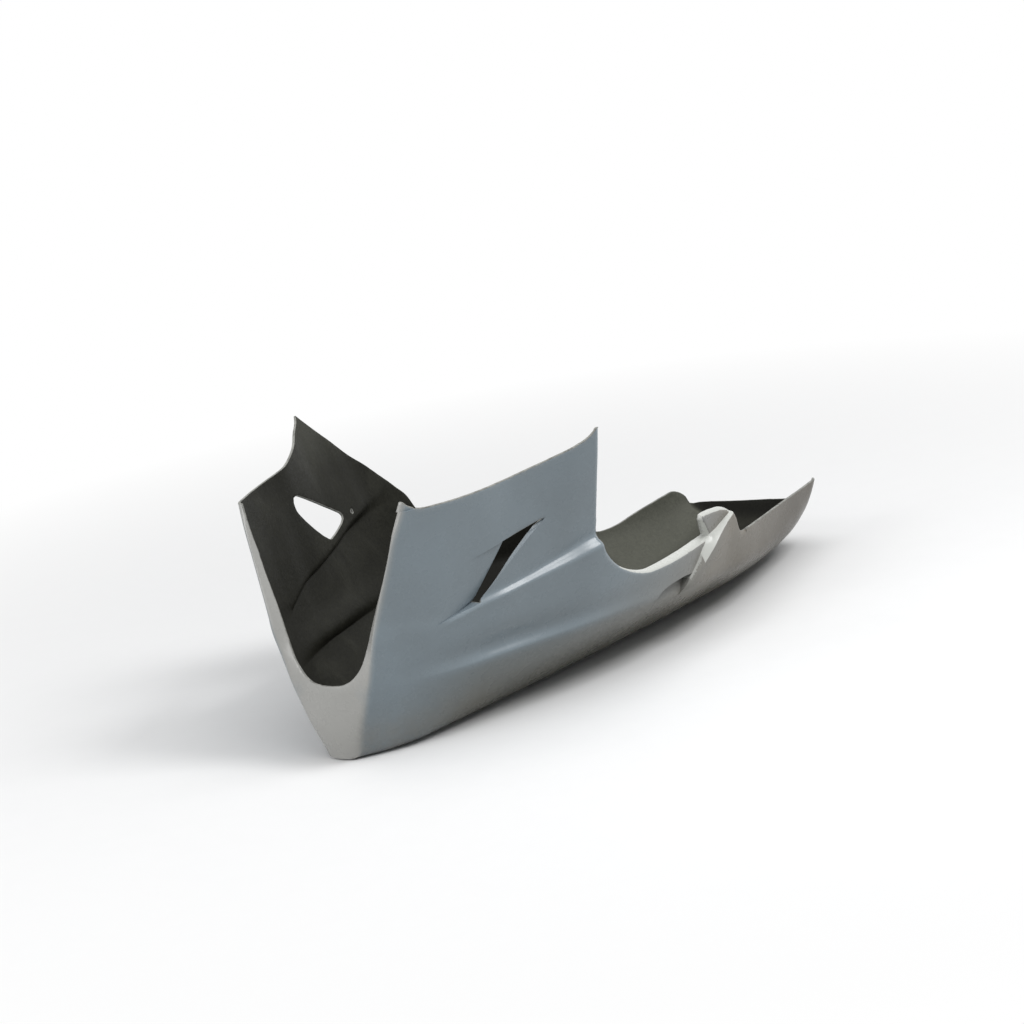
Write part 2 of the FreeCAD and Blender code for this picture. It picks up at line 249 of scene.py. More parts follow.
@dataclass(frozen=True)
class HullLines:
    """The feature lines that the moulding's skin runs through, from nose to stern."""

    keel_flat: float = 56.0
    trim_top: float = 345.0
    tail_end: float = 775.0
    crease: Rows = (
        (-40, 38, 76), (-10, 55, 77), (38, 84, 79), (66, 99, 79), (96, 112, 79), (127, 123, 79.5),
        (161, 132.5, 79), (195, 142, 78.5), (229, 151, 77.5), (266, 159, 77), (301, 164, 76),
        (350, 168, 72), (400, 166, 67), (450, 159, 61), (500, 149, 56), (550, 137, 51),
        (620, 119, 46), (700, 101, 46), (738, 94, 52), (757, 92, 62), (775, 91, 86))
    ledge: Rows = (
        (-40, 58, 138), (-6, 75, 138), (40, 101, 136), (62, 112, 136), (80, 122, 139), (105, 134, 145),
        (131, 146, 149), (163, 155.5, 153), (192, 165.5, 157), (220, 176, 161), (247, 187, 166),
        (280, 195, 171), (310, 200, 176), (350, 199, 181), (400, 192, 183), (450, 182, 182),
        (500, 170, 181), (550, 157, 180), (620, 138, 178), (700, 119, 176), (775, 104, 176))
    ledge_step: Rows = (
        (-40, 0.8), (58, 0.8), (80, 4), (105, 6), (131, 6), (163, 6.5), (192, 8), (220, 10),
        (247, 12), (270, 11), (300, 7), (330, 3), (365, 1.5), (775, 1.5))
    top: Rows = (
        (-40, 74, 272), (0, 104, 272), (21, 118, 272.5), (52, 134, 272), (81, 146, 271.5),
        (111, 155, 272), (144, 163, 274), (170, 175, 278), (194, 190, 284), (216, 207, 291),
        (238, 221, 303), (270, 236, 312), (310, 246, 320), (400, 246, 320), (775, 150, 320))
    keel_rise: Rows = (
        (-40, 3), (0, 1.2), (40, -0.5), (610, -0.5), (640, 1.2), (672, 5), (704, 12), (738, 28), (757, 47),
        (775, 84))
    keel_share: Rows = (
        (-40, 0.2), (-6, 0.4), (30, 0.8), (60, 1.0), (620, 1.0), (700, 1.05), (775, 1.15))
    left_swell: Rows = (
        (440, 0), (470, 0.5), (500, 3), (520, 8), (550, 15), (600, 15), (650, 12), (720, 6), (765, 1),
        (775, 0.5))
    crease_share: Rows = ((420, 0.2), (490, 0.25), (560, 0.7), (775, 0.7))
    tail_swell: Rows = (
        (404, 0), (422, 13), (440, 19), (470, 20.5), (500, 20), (520, 19), (550, 16.5), (600, 15),
        (650, 12), (720, 6), (765, 1), (775, 0.5))
    ridge: Rows = (
        (-30, -6, 14), (3, -6, 23), (41, -10, 41), (77, -10, 54), (111, -7.5, 63.5), (147, -6, 75),
        (180, -2, 86), (213, 4, 97), (244, 11, 107), (273, 21, 119), (345, 46, 146))
    lip: Rows = (
        (-30, -11, 8), (3, -11, 13), (41, -14.5, 24), (77, -11, 34), (103, -5, 46), (127, 0, 57),
        (152, 4.5, 66), (177, 8.7, 76), (201, 12.6, 86), (225, 16.5, 95), (250, 18.6, 104),
        (273, 23, 113), (345, 44, 138))
    chin: Rows = (
        (-30, -13), (3, -13), (41, -16.5), (77, -14), (103, -5), (152, 18), (201, 38), (273, 64), (345, 88))
    crease_round: Rows = (
        (-40, 22), (40, 14), (90, 6), (300, 7), (520, 9), (640, 16), (775, 22))
    ledge_round: Rows = (
        (-40, 16), (52, 10), (75, 2.5), (200, 2.5), (245, 4), (300, 8), (775, 9))
    keel_round: Rows = ((-40, 6), (0, 9), (60, 24), (775, 24))
    flare: Rows = (
        (-40, 0), (25, 0.3), (60, 2.0), (95, 5.4), (130, 8.6), (170, 8.4), (220, 5.6), (280, 3.2), (340, 1.6),
        (420, 0.4), (520, 0), (775, 0))
    flare_width: float = 13.0
    ridge_round: float = 7.5
    belly_grown: Row = (-10, 60)
    foot_out: float = 0.14
    foot_out_more: float = 0.16
    shoulder_in: float = 0.22
    shoulder_in_less: float = 0.10
    ledge_tuck: float = 0.9


class HullSkin:
    """The outer skin of the whole hull, before it is trimmed, as formulas over two parameters.

    Behind the leading ridge, v counts the nine corners of the half section from the middle of the keel
    and u runs from the ridge to the tail. In front of it, t runs from the middle plane out to the ridge.
    """

    spread: float = 2.2

    def __init__(self, lines: HullLines) -> None:
        """Fits the curves and finds where the leading ridge crosses each row.

        Args:
            lines: the feature lines.
        """
        self.lines = lines
        self.crease_half, self.crease_z = Curve(lines.crease, 1), Curve(lines.crease, 2)
        self.ledge_half, self.ledge_z = Curve(lines.ledge, 1), Curve(lines.ledge, 2)
        self.top_half, self.top_z = Curve(lines.top, 1), Curve(lines.top, 2)
        self.step, self.low = Curve(lines.ledge_step), Curve(lines.keel_rise)
        self.share = Curve(lines.keel_share)
        self.left_swell, self.tail_swell = Curve(lines.left_swell), Curve(lines.tail_swell)
        self.crease_share = Curve(lines.crease_share)
        self.ridge_s, self.ridge_half = Curve(lines.ridge, 1), Curve(lines.ridge, 2)
        self.lip_s, self.lip_half = Curve(lines.lip, 1), Curve(lines.lip, 2)
        self.chin_s = Curve(lines.chin)
        self.rounds = Curve(lines.keel_round), Curve(lines.crease_round), Curve(lines.ledge_round)
        self.flare = Curve(lines.flare)
        self.rows = np.linspace(0, 8, 3201)
        self.row_s = self._ridge_by_row(self.rows)
        self.row_half, self.row_z = self.section(self.row_s, self.rows, np.zeros_like(self.rows))

    def front_s(self, half: np.ndarray, z: np.ndarray) -> np.ndarray:
        """How far back the front face lies.

        Args:
            half: breadths from the middle plane.
            z: heights.

        Returns:
            At each height an even quartic in breadth through chin, lip and ridge, straight past the ridge.
        """
        rs, ry, ms = self.ridge_s(z), self.ridge_half(z), self.chin_s(z)
        es, ey = self.lip_s(z), self.lip_half(z)
        b = ((es - ms) * ry ** 4 - (rs - ms) * ey ** 4) / (ey ** 2 * ry ** 4 - ry ** 2 * ey ** 4)
        c = ((rs - ms) - b * ry ** 2) / ry ** 4
        y = np.minimum(np.abs(half), ry)
        return ms + b * y ** 2 + c * y ** 4 + (rs - es) / (ry - ey) * np.maximum(np.abs(half) - ry, 0)

    def corners(self, s: np.ndarray, swell: np.ndarray) -> np.ndarray:
        """The nine corners of the half section: keel, two on the belly, crease, ledge, top and beyond.

        Args:
            s: distances back.
            swell: how far the skin stands out at the ledge, and in part at the crease.

        Returns:
            The corners' half breadths and heights, for every s.
        """
        lines = self.lines
        keel, low = lines.keel_flat * self.share(s), self.low(s)
        cy, cz = self.crease_half(s) + self.crease_share(s) * swell, self.crease_z(s)
        ly, lz, step = self.ledge_half(s) + swell, self.ledge_z(s), self.step(s)
        ty, tz = self.top_half(s), self.top_z(s)
        iy, iz = ly - step, lz + lines.ledge_tuck * step
        grown, end = rising(s, *lines.belly_grown), lines.trim_top
        foot = keel + (lines.foot_out + lines.foot_out_more * grown) * (cy - keel)
        shoulder = cy - (lines.shoulder_in - lines.shoulder_in_less * grown) * (cy - keel)
        half = [0 * s, keel, foot, shoulder, cy, ly, iy, ty, ty + (ty - iy) / (tz - iz) * (end - tz)]
        high = [low, low, low + lines.foot_out * (cz - low), cz - lines.shoulder_in * (cz - low),
                cz, lz, iz, tz, 0 * s + end]
        return np.stack([np.stack(half, -1), np.stack(high, -1)], -1)

    def section(self, s: np.ndarray, v: np.ndarray, swell: np.ndarray) -> tuple[np.ndarray, np.ndarray]:
        """The half section: straight stretches whose corners are each eased by a parabola.

        Args:
            s: distances back.
            v: the row, whose whole number counts the corners.
            swell: how far the skin stands out.

        Returns:
            The half breadth and the height at each (s, v).
        """
        c = self.corners(s, swell)
        run = np.diff(c, axis=1)
        length = np.linalg.norm(run, axis=2) + 1e-9
        heading = run / length[..., None]
        k = np.clip(np.floor(v).astype(int), 0, 7)
        t = v - k
        row = np.arange(len(s))
        point = c[row, k] + t[:, None] * run[row, k]
        station = np.concatenate([np.zeros((len(s), 1)), np.cumsum(length, 1)], 1)
        x = station[row, k] + t * length[row, k]
        keel, crease, ledge = (r(s) for r in self.rounds)
        reach = {1: keel, 2: keel, 3: keel, 4: crease, 5: ledge, 6: ledge * 1.2}
        for corner, d in reach.items():
            tau = np.clip((d - np.abs(x - station[:, corner])) / (2 * d), 0, None)
            point = point + (d * tau ** 2)[:, None] * (heading[:, corner] - heading[:, corner - 1])
        # The side is hollowed just above the crease, so that the crease stands out as a flared lip.
        above = (np.sqrt(np.maximum(x - station[:, 4], 0) ** 2 + 4) - 2) / self.lines.flare_width
        hollow = self.flare(s) * above * np.exp(0.5 - 0.5 * above ** 2)
        return point[:, 0] - hollow, np.maximum(point[:, 1], 0.0)

    def _ridge_by_row(self, v: np.ndarray) -> np.ndarray:
        """Where each row of the side meets the front face, found by halving an interval.

        Args:
            v: the rows.

        Returns:
            How far back the ridge lies on each row.
        """
        low, high = np.full(v.shape, -39.0), np.full(v.shape, 80.0)
        for _ in range(40):
            s = (low + high) / 2
            half, z = self.section(s, v, np.zeros_like(s))
            ahead = s < self.front_s(half, z)
            low, high = np.where(ahead, s, low), np.where(ahead, high, s)
        return (low + high) / 2

    def keel_rows(self, count: int) -> np.ndarray:
        """The rows of the keel, closer together towards its edge, shared with the foot of the chin."""
        return 1 - (1 - np.linspace(0, 1, count)) ** self.spread

    def side(self, u: np.ndarray, v: np.ndarray, swell: Curve) -> np.ndarray:
        """Points (s, half, z) of the side and keel.

        Args:
            u: 0 at the leading ridge to 1 at the end of the tail.
            v: the row, from 0 at the middle of the keel to 8 above the top edge.
            swell: how far the skin stands out along the hull.

        Returns:
            The points as rows of an array.
        """
        start = np.interp(v, self.rows, self.row_s)
        s = start + (self.lines.tail_end - start) * u
        half, z = self.section(s, v, swell(s))
        return self._ease_ridge(np.stack([s, half, z], 1), v)

    def front(self, t: np.ndarray, v: np.ndarray) -> np.ndarray:
        """Points (s, half, z) of the front face.

        Args:
            t: 0 at the middle plane to 1 at the ridge.
            v: the row, whose foot bends down to the keel's front edge.

        Returns:
            The points as rows of an array.
        """
        w = 1 - (1 - t) ** self.spread
        edge_half, foot_half, corner_half = (np.interp(row, self.rows, self.row_half) for row in (v, w, 1.0))
        edge_z, foot_z, corner_z = (np.interp(row, self.rows, self.row_z) for row in (v, w, 1.0))
        fade = np.clip(2 - v, 0, 1) ** 2
        half = edge_half * w + (foot_half - corner_half * w) * fade
        z = edge_z + (foot_z - corner_z) * fade
        return self._ease_ridge(np.stack([self.front_s(half, z), half, z], 1), v)

    def _ease_ridge(self, point: np.ndarray, v: np.ndarray) -> np.ndarray:
        """Rounds the leading ridge: both faces bend towards each other by a parabola over the ridge's radius.

        Args:
            point: points of the side or the front face.
            v: their rows.

        Returns:
            The moved points.
        """
        rs, rh, rz = (np.interp(v, self.rows, a) for a in (self.row_s, self.row_half, self.row_z))
        edge = np.stack([rs, rh, rz], 1)
        half, z = self.section(rs + 2.0, v, np.zeros_like(v))
        leave = np.stack([rs + 2.0, half, z], 1) - edge
        arrive = edge - np.stack([self.front_s(rh - 2.0, rz), rh - 2.0, rz], 1)
        leave /= np.linalg.norm(leave, axis=1)[:, None]
        turn = leave - arrive / np.linalg.norm(arrive, axis=1)[:, None]
        d = self.lines.ridge_round
        tau = np.clip((d - np.linalg.norm(point - edge, axis=1)) / (2 * d), 0, None)
        amount = d * tau ** 2 * np.clip(v - 1, 0, 1)
        return point + amount[:, None] * turn


@dataclass
class Sheet:
    """A triangle sheet over the hull's parameters, which can be split along any line drawn on it.

    Each vertex is (block, a, b): block 0 is the side with a = u and b = v, block 1 the front with
    a = t and b = v. Each triangle carries the zone it belongs to.
    """

    skin: HullSkin
    params: np.ndarray
    tris: np.ndarray
    zones: np.ndarray

    @classmethod
    def over(cls, skin: HullSkin, columns: np.ndarray, rows: np.ndarray, keel_count: int) -> "Sheet":
        """Lays the grids of the side block and the front block.

        Args:
            skin: the hull's formulas.
            columns: values of u for the side block.
            rows: values of v above the keel, starting at 1.
            keel_count: how many rows the keel has.

        Returns:
            The untrimmed sheet of one half.
        """
        keel = skin.keel_rows(keel_count)
        side_rows = np.concatenate([keel, rows[1:]])
        across = np.linspace(0, 1, keel_count)
        params, tris, offset = [], [], 0
        for block, first, second in ((0, columns, side_rows), (1, across, rows)):
            a, b = np.meshgrid(first, second, indexing="ij")
            params.append(np.stack([np.full(a.size, float(block)), a.ravel(), b.ravel()], 1))
            n, m = a.shape
            i, j = np.meshgrid(np.arange(n - 1), np.arange(m - 1), indexing="ij")
            corner = (i * m + j).ravel() + offset
            odd = ((i + j) % 2 == 1).ravel()
            p, q, r, w = corner, corner + m, corner + m + 1, corner + 1
            one = np.where(odd[:, None], np.stack([p, q, r], 1), np.stack([p, q, w], 1))
            two = np.where(odd[:, None], np.stack([p, r, w], 1), np.stack([q, r, w], 1))
            tris.append(np.vstack([one, two]))
            offset += a.size
        tris = np.vstack(tris)
        return cls(skin, np.vstack(params), tris, np.zeros(len(tris), int))

    def place(self, swell: Optional[Curve] = None) -> np.ndarray:
        """Points of the plain skin.

        Args:
            swell: how far the side stands out along the hull, the left side's by default.

        Returns:
            The points (s, half, z) of all vertices.
        """
        p = self.params
        out = np.empty((len(p), 3))
        side = p[:, 0] == 0
        if side.any():
            out[side] = self.skin.side(p[side, 1], p[side, 2], swell or self.skin.left_swell)
        if (~side).any():
            out[~side] = self.skin.front(p[~side, 1], p[~side, 2])
        return out

    def split(self, line: Field, where: Optional[Field] = None, snap: float = 0.2) -> np.ndarray:
        """Splits every triangle that a line crosses.

        Args:
            line: a field over (s, half, z) that is zero along the line.
            where: a field that is positive where the line counts, or None for everywhere.
            snap: vertices this near to the line are taken as lying on it.

        Returns:
            The sign of the field for each triangle, zero where the line doesn't count.
        """
        point = self.place()
        f = line(*point.T)
        f = np.where(np.abs(f) < snap, 0.0, f)
        live = np.ones(len(f), bool) if where is None else where(*point.T) > 0
        edges = self.tris[:, [[0, 1], [1, 2], [2, 0]]]
        a, b = edges[..., 0], edges[..., 1]
        crossing = (f[a] * f[b] < 0) & live[a] & live[b]
        key = edge_key(np.minimum(a, b), np.maximum(a, b), len(f))
        unique, back = np.unique(key[crossing], return_inverse=True)
        first, second = unique // len(f), unique % len(f)
        t = (f[first] / (f[first] - f[second]))[:, None]
        fresh = self.params[first] * (1 - t) + self.params[second] * t
        middle = np.full(crossing.shape, -1)
        middle[crossing] = len(f) + back
        self.params = np.vstack([self.params, fresh])
        f = np.concatenate([f, np.zeros(len(fresh))])
        live = np.concatenate([live, np.ones(len(fresh), bool)])
        count = crossing.sum(1)
        kept = self.tris[count == 0]
        zones = [self.zones[count == 0]]
        parts = [kept]
        for k in range(3):
            turn = [k, (k + 1) % 3, (k + 2) % 3]
            # One crossed edge, k: the opposite corner is on the line.
            pick = (count == 1) & crossing[:, k]
            v, m = self.tris[pick][:, turn], middle[pick, k]
            parts += [np.stack([v[:, 0], m, v[:, 2]], 1), np.stack([m, v[:, 1], v[:, 2]], 1)]
            zones += [self.zones[pick]] * 2
            # Two crossed edges, k and the one before it, so that corner k stands alone.
            pick = (count == 2) & crossing[:, k] & crossing[:, (k + 2) % 3]
            v, m, n = self.tris[pick][:, turn], middle[pick, k], middle[pick, (k + 2) % 3]
            parts += [np.stack([v[:, 0], m, n], 1), np.stack([m, v[:, 1], v[:, 2]], 1)]
            parts += [np.stack([m, v[:, 2], n], 1)]
            zones += [self.zones[pick]] * 3
        self.tris, self.zones = np.vstack(parts), np.concatenate(zones)
        inside = live[self.tris].all(1)
        return np.where(inside, np.sign(f[self.tris].sum(1)), 0).astype(int)

    def drop(self, gone: np.ndarray) -> None:
        """Removes triangles."""
        self.tris, self.zones = self.tris[~gone], self.zones[~gone]


@dataclass(frozen=True)
class TailStep:
    """The diagonal step behind the left cut-out, from which the tail panel stands proud.

    The step is a sloping wedge face between the panel's edge and a foot line above it on the front skin.
    """

    edge: Rows = ((396, 50), (404, 57), (414.5, 64.4), (432, 76.6), (443, 84.9), (456.8, 94.6),
                             (471.7, 104), (488.3, 111.6), (505.2, 118), (516, 122), (560, 140))
    slope: Rows = ((396, 2), (404, 4), (421, 8), (438, 9.5), (444, 11.5), (455, 12.5), (463, 12),
                              (472, 8), (484, 4.5), (500, 2.5), (516, 2))
    start: float = 398.0
    end: float = 530.0
    sinking: Row = (98.0, 120.0)
    sunk: float = 0.45

    def mark(self, sheet: Sheet) -> None:
        """Splits the sheet along the panel's edge and the foot of the step.

        Args:
            sheet: the trimmed sheet of the left half.
        """
        edge, slope = Curve(self.edge), Curve(self.slope)
        near = lambda s, h, z: np.minimum(s - self.start, self.end - s)
        sheet.split(lambda s, h, z: z - edge(s), near)
        sheet.split(lambda s, h, z: z - edge(s) - slope(s), near)

    def above(self, point: np.ndarray) -> np.ndarray:
        """Whether points lie above the foot of the step, on the front skin."""
        edge, slope = Curve(self.edge), Curve(self.slope)
        return (point[:, 0] < self.start) | (point[:, 2] > edge(point[:, 0]) + slope(point[:, 0]) - 0.1)

    def half(self, plain: np.ndarray, proud: np.ndarray) -> np.ndarray:
        """Breadths across the step.

        Args:
            plain: points of the skin with the front skin's swell.
            proud: the same points with the tail panel's swell.

        Returns:
            The half breadths of the stepped skin.
        """
        s, z = plain[:, 0], plain[:, 2]
        edge, slope = Curve(self.edge)(s), Curve(self.slope)(s)
        weight = rising((edge + slope - z) / slope, 0, 1) * (1 - self.sunk * rising(z, *self.sinking))
        return plain[:, 1] + (proud[:, 1] - plain[:, 1]) * weight


@dataclass(frozen=True)
class Louvre:
    """The left louvre: a flap dished inward from the skin, an open slot behind it and a turned-in lip."""

    top_front: Row = (89, 132, 195.5)
    foot_front: Row = (53, 107, 136)
    top_rear: Row = (142, 142, 208.5)
    foot_rear: Row = (106, 117, 147)
    slot_foot: Row = (109.5, 131, 151)
    slot_top: Row = (192, 169, 221)
    slot_lip: Row = (185.5, 154, 212.5)
    depth: Row = (16, 12)
    deepening: float = 0.9
    lip_width: float = 0.7
    about_s: Row = (20, 230)
    about_z: Row = (110, 240)

    def outline(self) -> np.ndarray:
        """The flap and the slot together, in side view."""
        ring = [self.top_front, self.foot_front, self.foot_rear, self.slot_foot, self.slot_top, self.top_rear]
        return np.array([(p[0], p[2]) for p in ring], float)

    def mark(self, sheet: Sheet) -> None:
        """Splits the sheet round the louvre, marks the flap and opens the slot.

        Args:
            sheet: the trimmed sheet of the left half.
        """
        ring = self.outline()
        (front, back), (low, high) = self.about_s, self.about_z
        near = lambda s, h, z: np.minimum(np.minimum(s - front, back - s), np.minimum(z - low, high - z))
        sign = sheet.split(lambda s, h, z: inside_polygon(s, z, ring), near)
        sheet.zones[sign > 0] = Zone.FLAP
        rear = np.array([self.foot_rear, self.top_rear])[:, [0, 2]]
        rear = np.vstack([rear[0] - 3 * (rear[1] - rear[0]), rear[1] + 3 * (rear[1] - rear[0])])
        sign = sheet.split(lambda s, h, z: -line_distance(s, z, rear)[1], near)
        sheet.zones[(sign > 0) & (sheet.zones == Zone.FLAP)] = Zone.HOLE

    def half(self, point: np.ndarray) -> np.ndarray:
        """How far out the flap stands: it leaves the skin smoothly in front and is deepest at its rear edge.

        Args:
            point: the skin's points.

        Returns:
            Half breadths, sunk by a power of the gap between the skin and a flat.
        """
        flat = plane_half(point[:, 0], point[:, 2], (self.top_front, self.foot_front, self.foot_rear))
        sunk = np.maximum(point[:, 1] - flat, 0)
        full = self.depth[0] + self.depth[1] * rising(point[:, 2], self.foot_rear[2], self.top_rear[2])
        return point[:, 1] - sunk * np.clip(sunk / full, 0, 1.1) ** self.deepening

    def lip(self, point: np.ndarray) -> np.ndarray:
        """How the slot's rear edge turns inward: nothing at its foot, and most at its top.

        Args:
            point: the skin's points.

        Returns:
            The full offset of each point, zero away from that edge.
        """
        foot, top, inner = (np.array(p, float) for p in (self.slot_foot, self.slot_top, self.slot_lip))
        segment = np.array([foot[[0, 2]], top[[0, 2]]])
        gap, _ = line_distance(point[:, 0], point[:, 2], segment)
        t = rising(point[:, 0], foot[0], top[0])
        return np.where((gap < self.lip_width)[:, None], t[:, None] * (inner - top), 0.0)


@dataclass(frozen=True)
class Scoop:
    """The shallow recess under the left cut-out, deepest along its roof."""

    corners: Rows = ((351, 64), (366, 77), (434, 75), (418, 61))
    floor: Rows = ((351, 161, 64), (418, 158, 61), (434, 154, 75))
    fade: float = 3.0
    about_s: Row = (335, 450)
    about_z: Row = (40, 100)

    def mark(self, sheet: Sheet, step: TailStep) -> None:
        """Splits the sheet round the recess, which ends at the tail panel's step.

        Args:
            sheet: the trimmed sheet of the left half.
            step: the tail panel's step.
        """
        ring = smoothed(self.corners, 4, closed=True)
        (front, back), (low, high) = self.about_s, self.about_z
        near = lambda s, h, z: np.minimum(np.minimum(s - front, back - s), np.minimum(z - low, high - z))
        sign = sheet.split(lambda s, h, z: inside_polygon(s, z, ring), near)
        clear = step.above(sheet.place()[sheet.tris].mean(1))
        sheet.zones[(sign > 0) & clear] = Zone.SCOOP

    def half(self, point: np.ndarray) -> np.ndarray:
        """How far out the recess's face stands."""
        return soft_least(point[:, 1], plane_half(point[:, 0], point[:, 2], self.floor), self.fade)


@dataclass(frozen=True)
class CornerFlange:
    """The flange at the left front corner, set inward behind a joggle so another panel can lap it."""

    height: float = 274.5
    reach: float = 44.0
    depth: float = 2.2
    lowest: float = 240.0

    def mark(self, sheet: Sheet) -> None:
        """Splits the sheet along the joggle."""
        sign = sheet.split(lambda s, h, z: z - self.height,
                           lambda s, h, z: (self.reach - s) * (z > self.lowest))
        sheet.zones[(sign > 0) & (sheet.zones == Zone.SKIN)] = Zone.JOGGLE


@dataclass(frozen=True)
class Trim:
    """Where the moulding is trimmed, as side views in (s, z) and front views in (half, z)."""

    top: Rows = ((-60, 273), (22, 273), (52, 272), (81, 271.5), (111, 272), (144, 274), (170, 278.5),
                            (194, 284), (216, 291), (230, 297.5), (238, 306), (241, 311))
    left_corner: Rows = ((-60, 290), (20, 290), (30, 279), (40, 273.5))
    left: Rows = (
        (238, 324), (242.2, 299), (246, 274), (249.3, 250), (253, 225), (256.8, 200.5), (259.3, 186),
        (259, 178.5), (257.5, 172), (261, 159.5), (275.5, 140.5), (293.5, 127), (314, 116.5),
        (335.4, 109.5), (354.3, 107.6), (387.3, 106.2), (419, 106.4), (440, 106.6), (456, 106.8),
        (461.5, 107.8), (462.5, 111), (459, 116), (454.5, 122), (449.5, 129), (446.5, 133.5),
        (447.5, 136.3), (453, 137), (460.5, 136.5), (475.3, 134.5), (499.4, 129.5), (509.9, 124.5),
        (516.5, 117), (519.5, 110), (521.5, 103), (524.5, 97), (529.5, 93.3), (537, 91.8), (546, 91.6),
        (605.6, 88.5), (671.5, 84.4), (711, 81.7), (758.7, 79.2), (790, 77.5))
    right: Rows = (
        (222, 320), (240, 300), (248.5, 292), (278.3, 262.8), (302, 238), (322.5, 219.6), (341, 199),
        (355, 184), (365.6, 171.7), (374, 150), (390, 131), (420, 114), (460, 102), (500, 95), (535, 90),
        (565, 78), (590, 62), (607, 52), (635, 52), (664.3, 57.5), (690, 61.5), (713.3, 64.8), (726.4, 66),
        (737.5, 60.1), (744, 51), (750, 50), (756, 53), (790, 62))
    opening: Rows = (
        (0, 84), (14, 84.5), (24, 86.5), (33, 91), (41, 98), (48, 107), (57, 127), (66, 152), (76, 177),
        (86, 201), (95, 225), (104, 250), (114, 275), (146, 360))
    stern: Rows = ((94, 120), (90.5, 80), (86, 69), (76, 59), (60, 53.5), (-35, 47), (-62, 45.5),
                              (-100, 45), (-100, 120))
    stern_from: float = 741.0
    vent: Rows = ((144, 238), (152, 239.5), (161, 236), (233, 194), (238, 189), (237, 184.5),
                             (200, 173.5), (194, 174), (147, 219), (143, 229))
    screw: Row = (258, 186)
    screw_radius: float = 3.0
    opening_until: float = 95.0

    def top_line(self, side: Side) -> np.ndarray:
        """The upper edge of one side."""
        return smoothed(self.left_corner + self.top[2:] if side is Side.LEFT else self.top)

    def rear_line(self, side: Side) -> np.ndarray:
        """The edge of one side from the spike down and back to the stern."""
        return smoothed(self.left if side is Side.LEFT else self.right)

    def fields(self, side: Side) -> list[Field]:
        """The fields that are negative where material is cut away.

        Args:
            side: which half.

        Returns:
            One field for each stretch of edge: top, rear, front opening, stern, and the right side's holes.
        """
        top, rear = self.top_line(side), self.rear_line(side)
        opening = smoothed([(-y, z) for y, z in self.opening[:0:-1]] + list(self.opening), 4)
        stern = np.array([(y * side.value, z) for y, z in self.stern], float)
        out = [lambda s, h, z: -line_distance(s, z, top)[1],
               lambda s, h, z: -line_distance(s, z, rear)[1],
               lambda s, h, z: np.maximum(-line_distance(h, z, opening)[1], s - self.opening_until),
               lambda s, h, z: np.maximum(-inside_polygon(h, z, stern), self.stern_from - s)]
        if side is Side.RIGHT:
            vent = smoothed(self.vent, 4, closed=True)
            out.append(lambda s, h, z: -inside_polygon(s, z, vent))
            out.append(lambda s, h, z: np.hypot(s - self.screw[0], z - self.screw[1]) - self.screw_radius)
        return out


@dataclass(frozen=True)
class EdgeRoll:
    """How the skin turns inward behind the left trimmed edge: a small radius, then a flat rim."""

    radius: Rows = ((140, 3.4), (186, 6.0))
    rim: Rows = ((284, 0), (300, 3.5), (325, 6), (350, 8.5), (400, 10.5), (460, 10.5), (470, 6.5),
                            (495, 6), (508, 4.5), (519, 0))
    tab_rim: Rows = ((108, 11), (116, 9.5), (126, 7), (134, 5.5), (145, 5.5))
    top: float = 142.0
    rings: Rows = ((0.22, 0.7), (0.6, 0.9), (1.0, 0.9))
    heading: Row = (0.0, -0.97, 0.20)
    clear: float = 1.1
    full_depth: float = 5.0
    panel_until: float = 262.0
    rim_between: Row = (278, 522)
    above: float = 88.0
    bend_lines: Row = (1.0, 0.42)
    bend: float = 0.62
    bend_above: float = 84.0
    bend_until: float = 540.0

    def mark(self, sheet: Sheet, rear: Field) -> None:
        """Splits the sheet twice beside the edge, so that the radius has points to bend at.

        Args:
            sheet: the trimmed sheet of the left half.
            rear: the field of the trimmed edge.
        """
        radius, (first, last) = Curve(self.radius), self.rim_between
        near = lambda s, h, z: (np.where((s < self.panel_until) | ((s > first) & (s < last)), 1.0, -1.0)
                                * (z > self.above))
        for share in self.bend_lines:
            sheet.split(lambda s, h, z: rear(s, h, z) - share * radius(z), near)

    def ease(self, point: np.ndarray, rear: Field) -> np.ndarray:
        """The skin bent inward next to the edge, by the square of the nearness to it.

        Args:
            point: the skin's points.
            rear: the field of the trimmed edge.

        Returns:
            The half breadths.
        """
        radius = Curve(self.radius)(point[:, 2])
        near = np.clip(1 - np.abs(rear(*point.T)) / radius, 0, 1)
        live = (point[:, 2] > self.bend_above) & (point[:, 0] < self.bend_until)
        return point[:, 1] - np.where(live, self.bend * radius * near ** 2, 0)

    def depth(self, point: np.ndarray, rear: Field) -> np.ndarray:
        """How deep the flat rim is at each point.

        Args:
            point: the skin's points.
            rear: the field of the trimmed edge.

        Returns:
            The lesser of the depths by s and by z, zero away from the edge.
        """
        near = (np.abs(rear(*point.T)) < self.clear) & (point[:, 2] < self.top) & (point[:, 0] > 270)
        depth = np.minimum(Curve(self.rim)(point[:, 0]), Curve(self.tab_rim)(point[:, 2]))
        return np.where(near, depth, 0.0)

    def turn_in(self, point: np.ndarray, rear: Field) -> list[np.ndarray]:
        """The rim's rings: a little off the edge along its field's slope, then inward by shares of the depth.

        Args:
            point: the skin's points.
            rear: the field of the trimmed edge.

        Returns:
            For each ring, the offset of every point.
        """
        s, h, z = point.T
        fall_s = rear(s - 0.5, h, z) - rear(s + 0.5, h, z)
        off = np.stack([fall_s, 0 * s, rear(s, h, z - 0.5) - rear(s, h, z + 0.5)], 1)
        off /= np.linalg.norm(off, axis=1)[:, None] + 1e-9
        depth = self.depth(point, rear)[:, None]
        scale = rising(depth, 0, self.full_depth)
        return [np.array(self.heading) * depth * share + off * w * scale for share, w in self.rings]


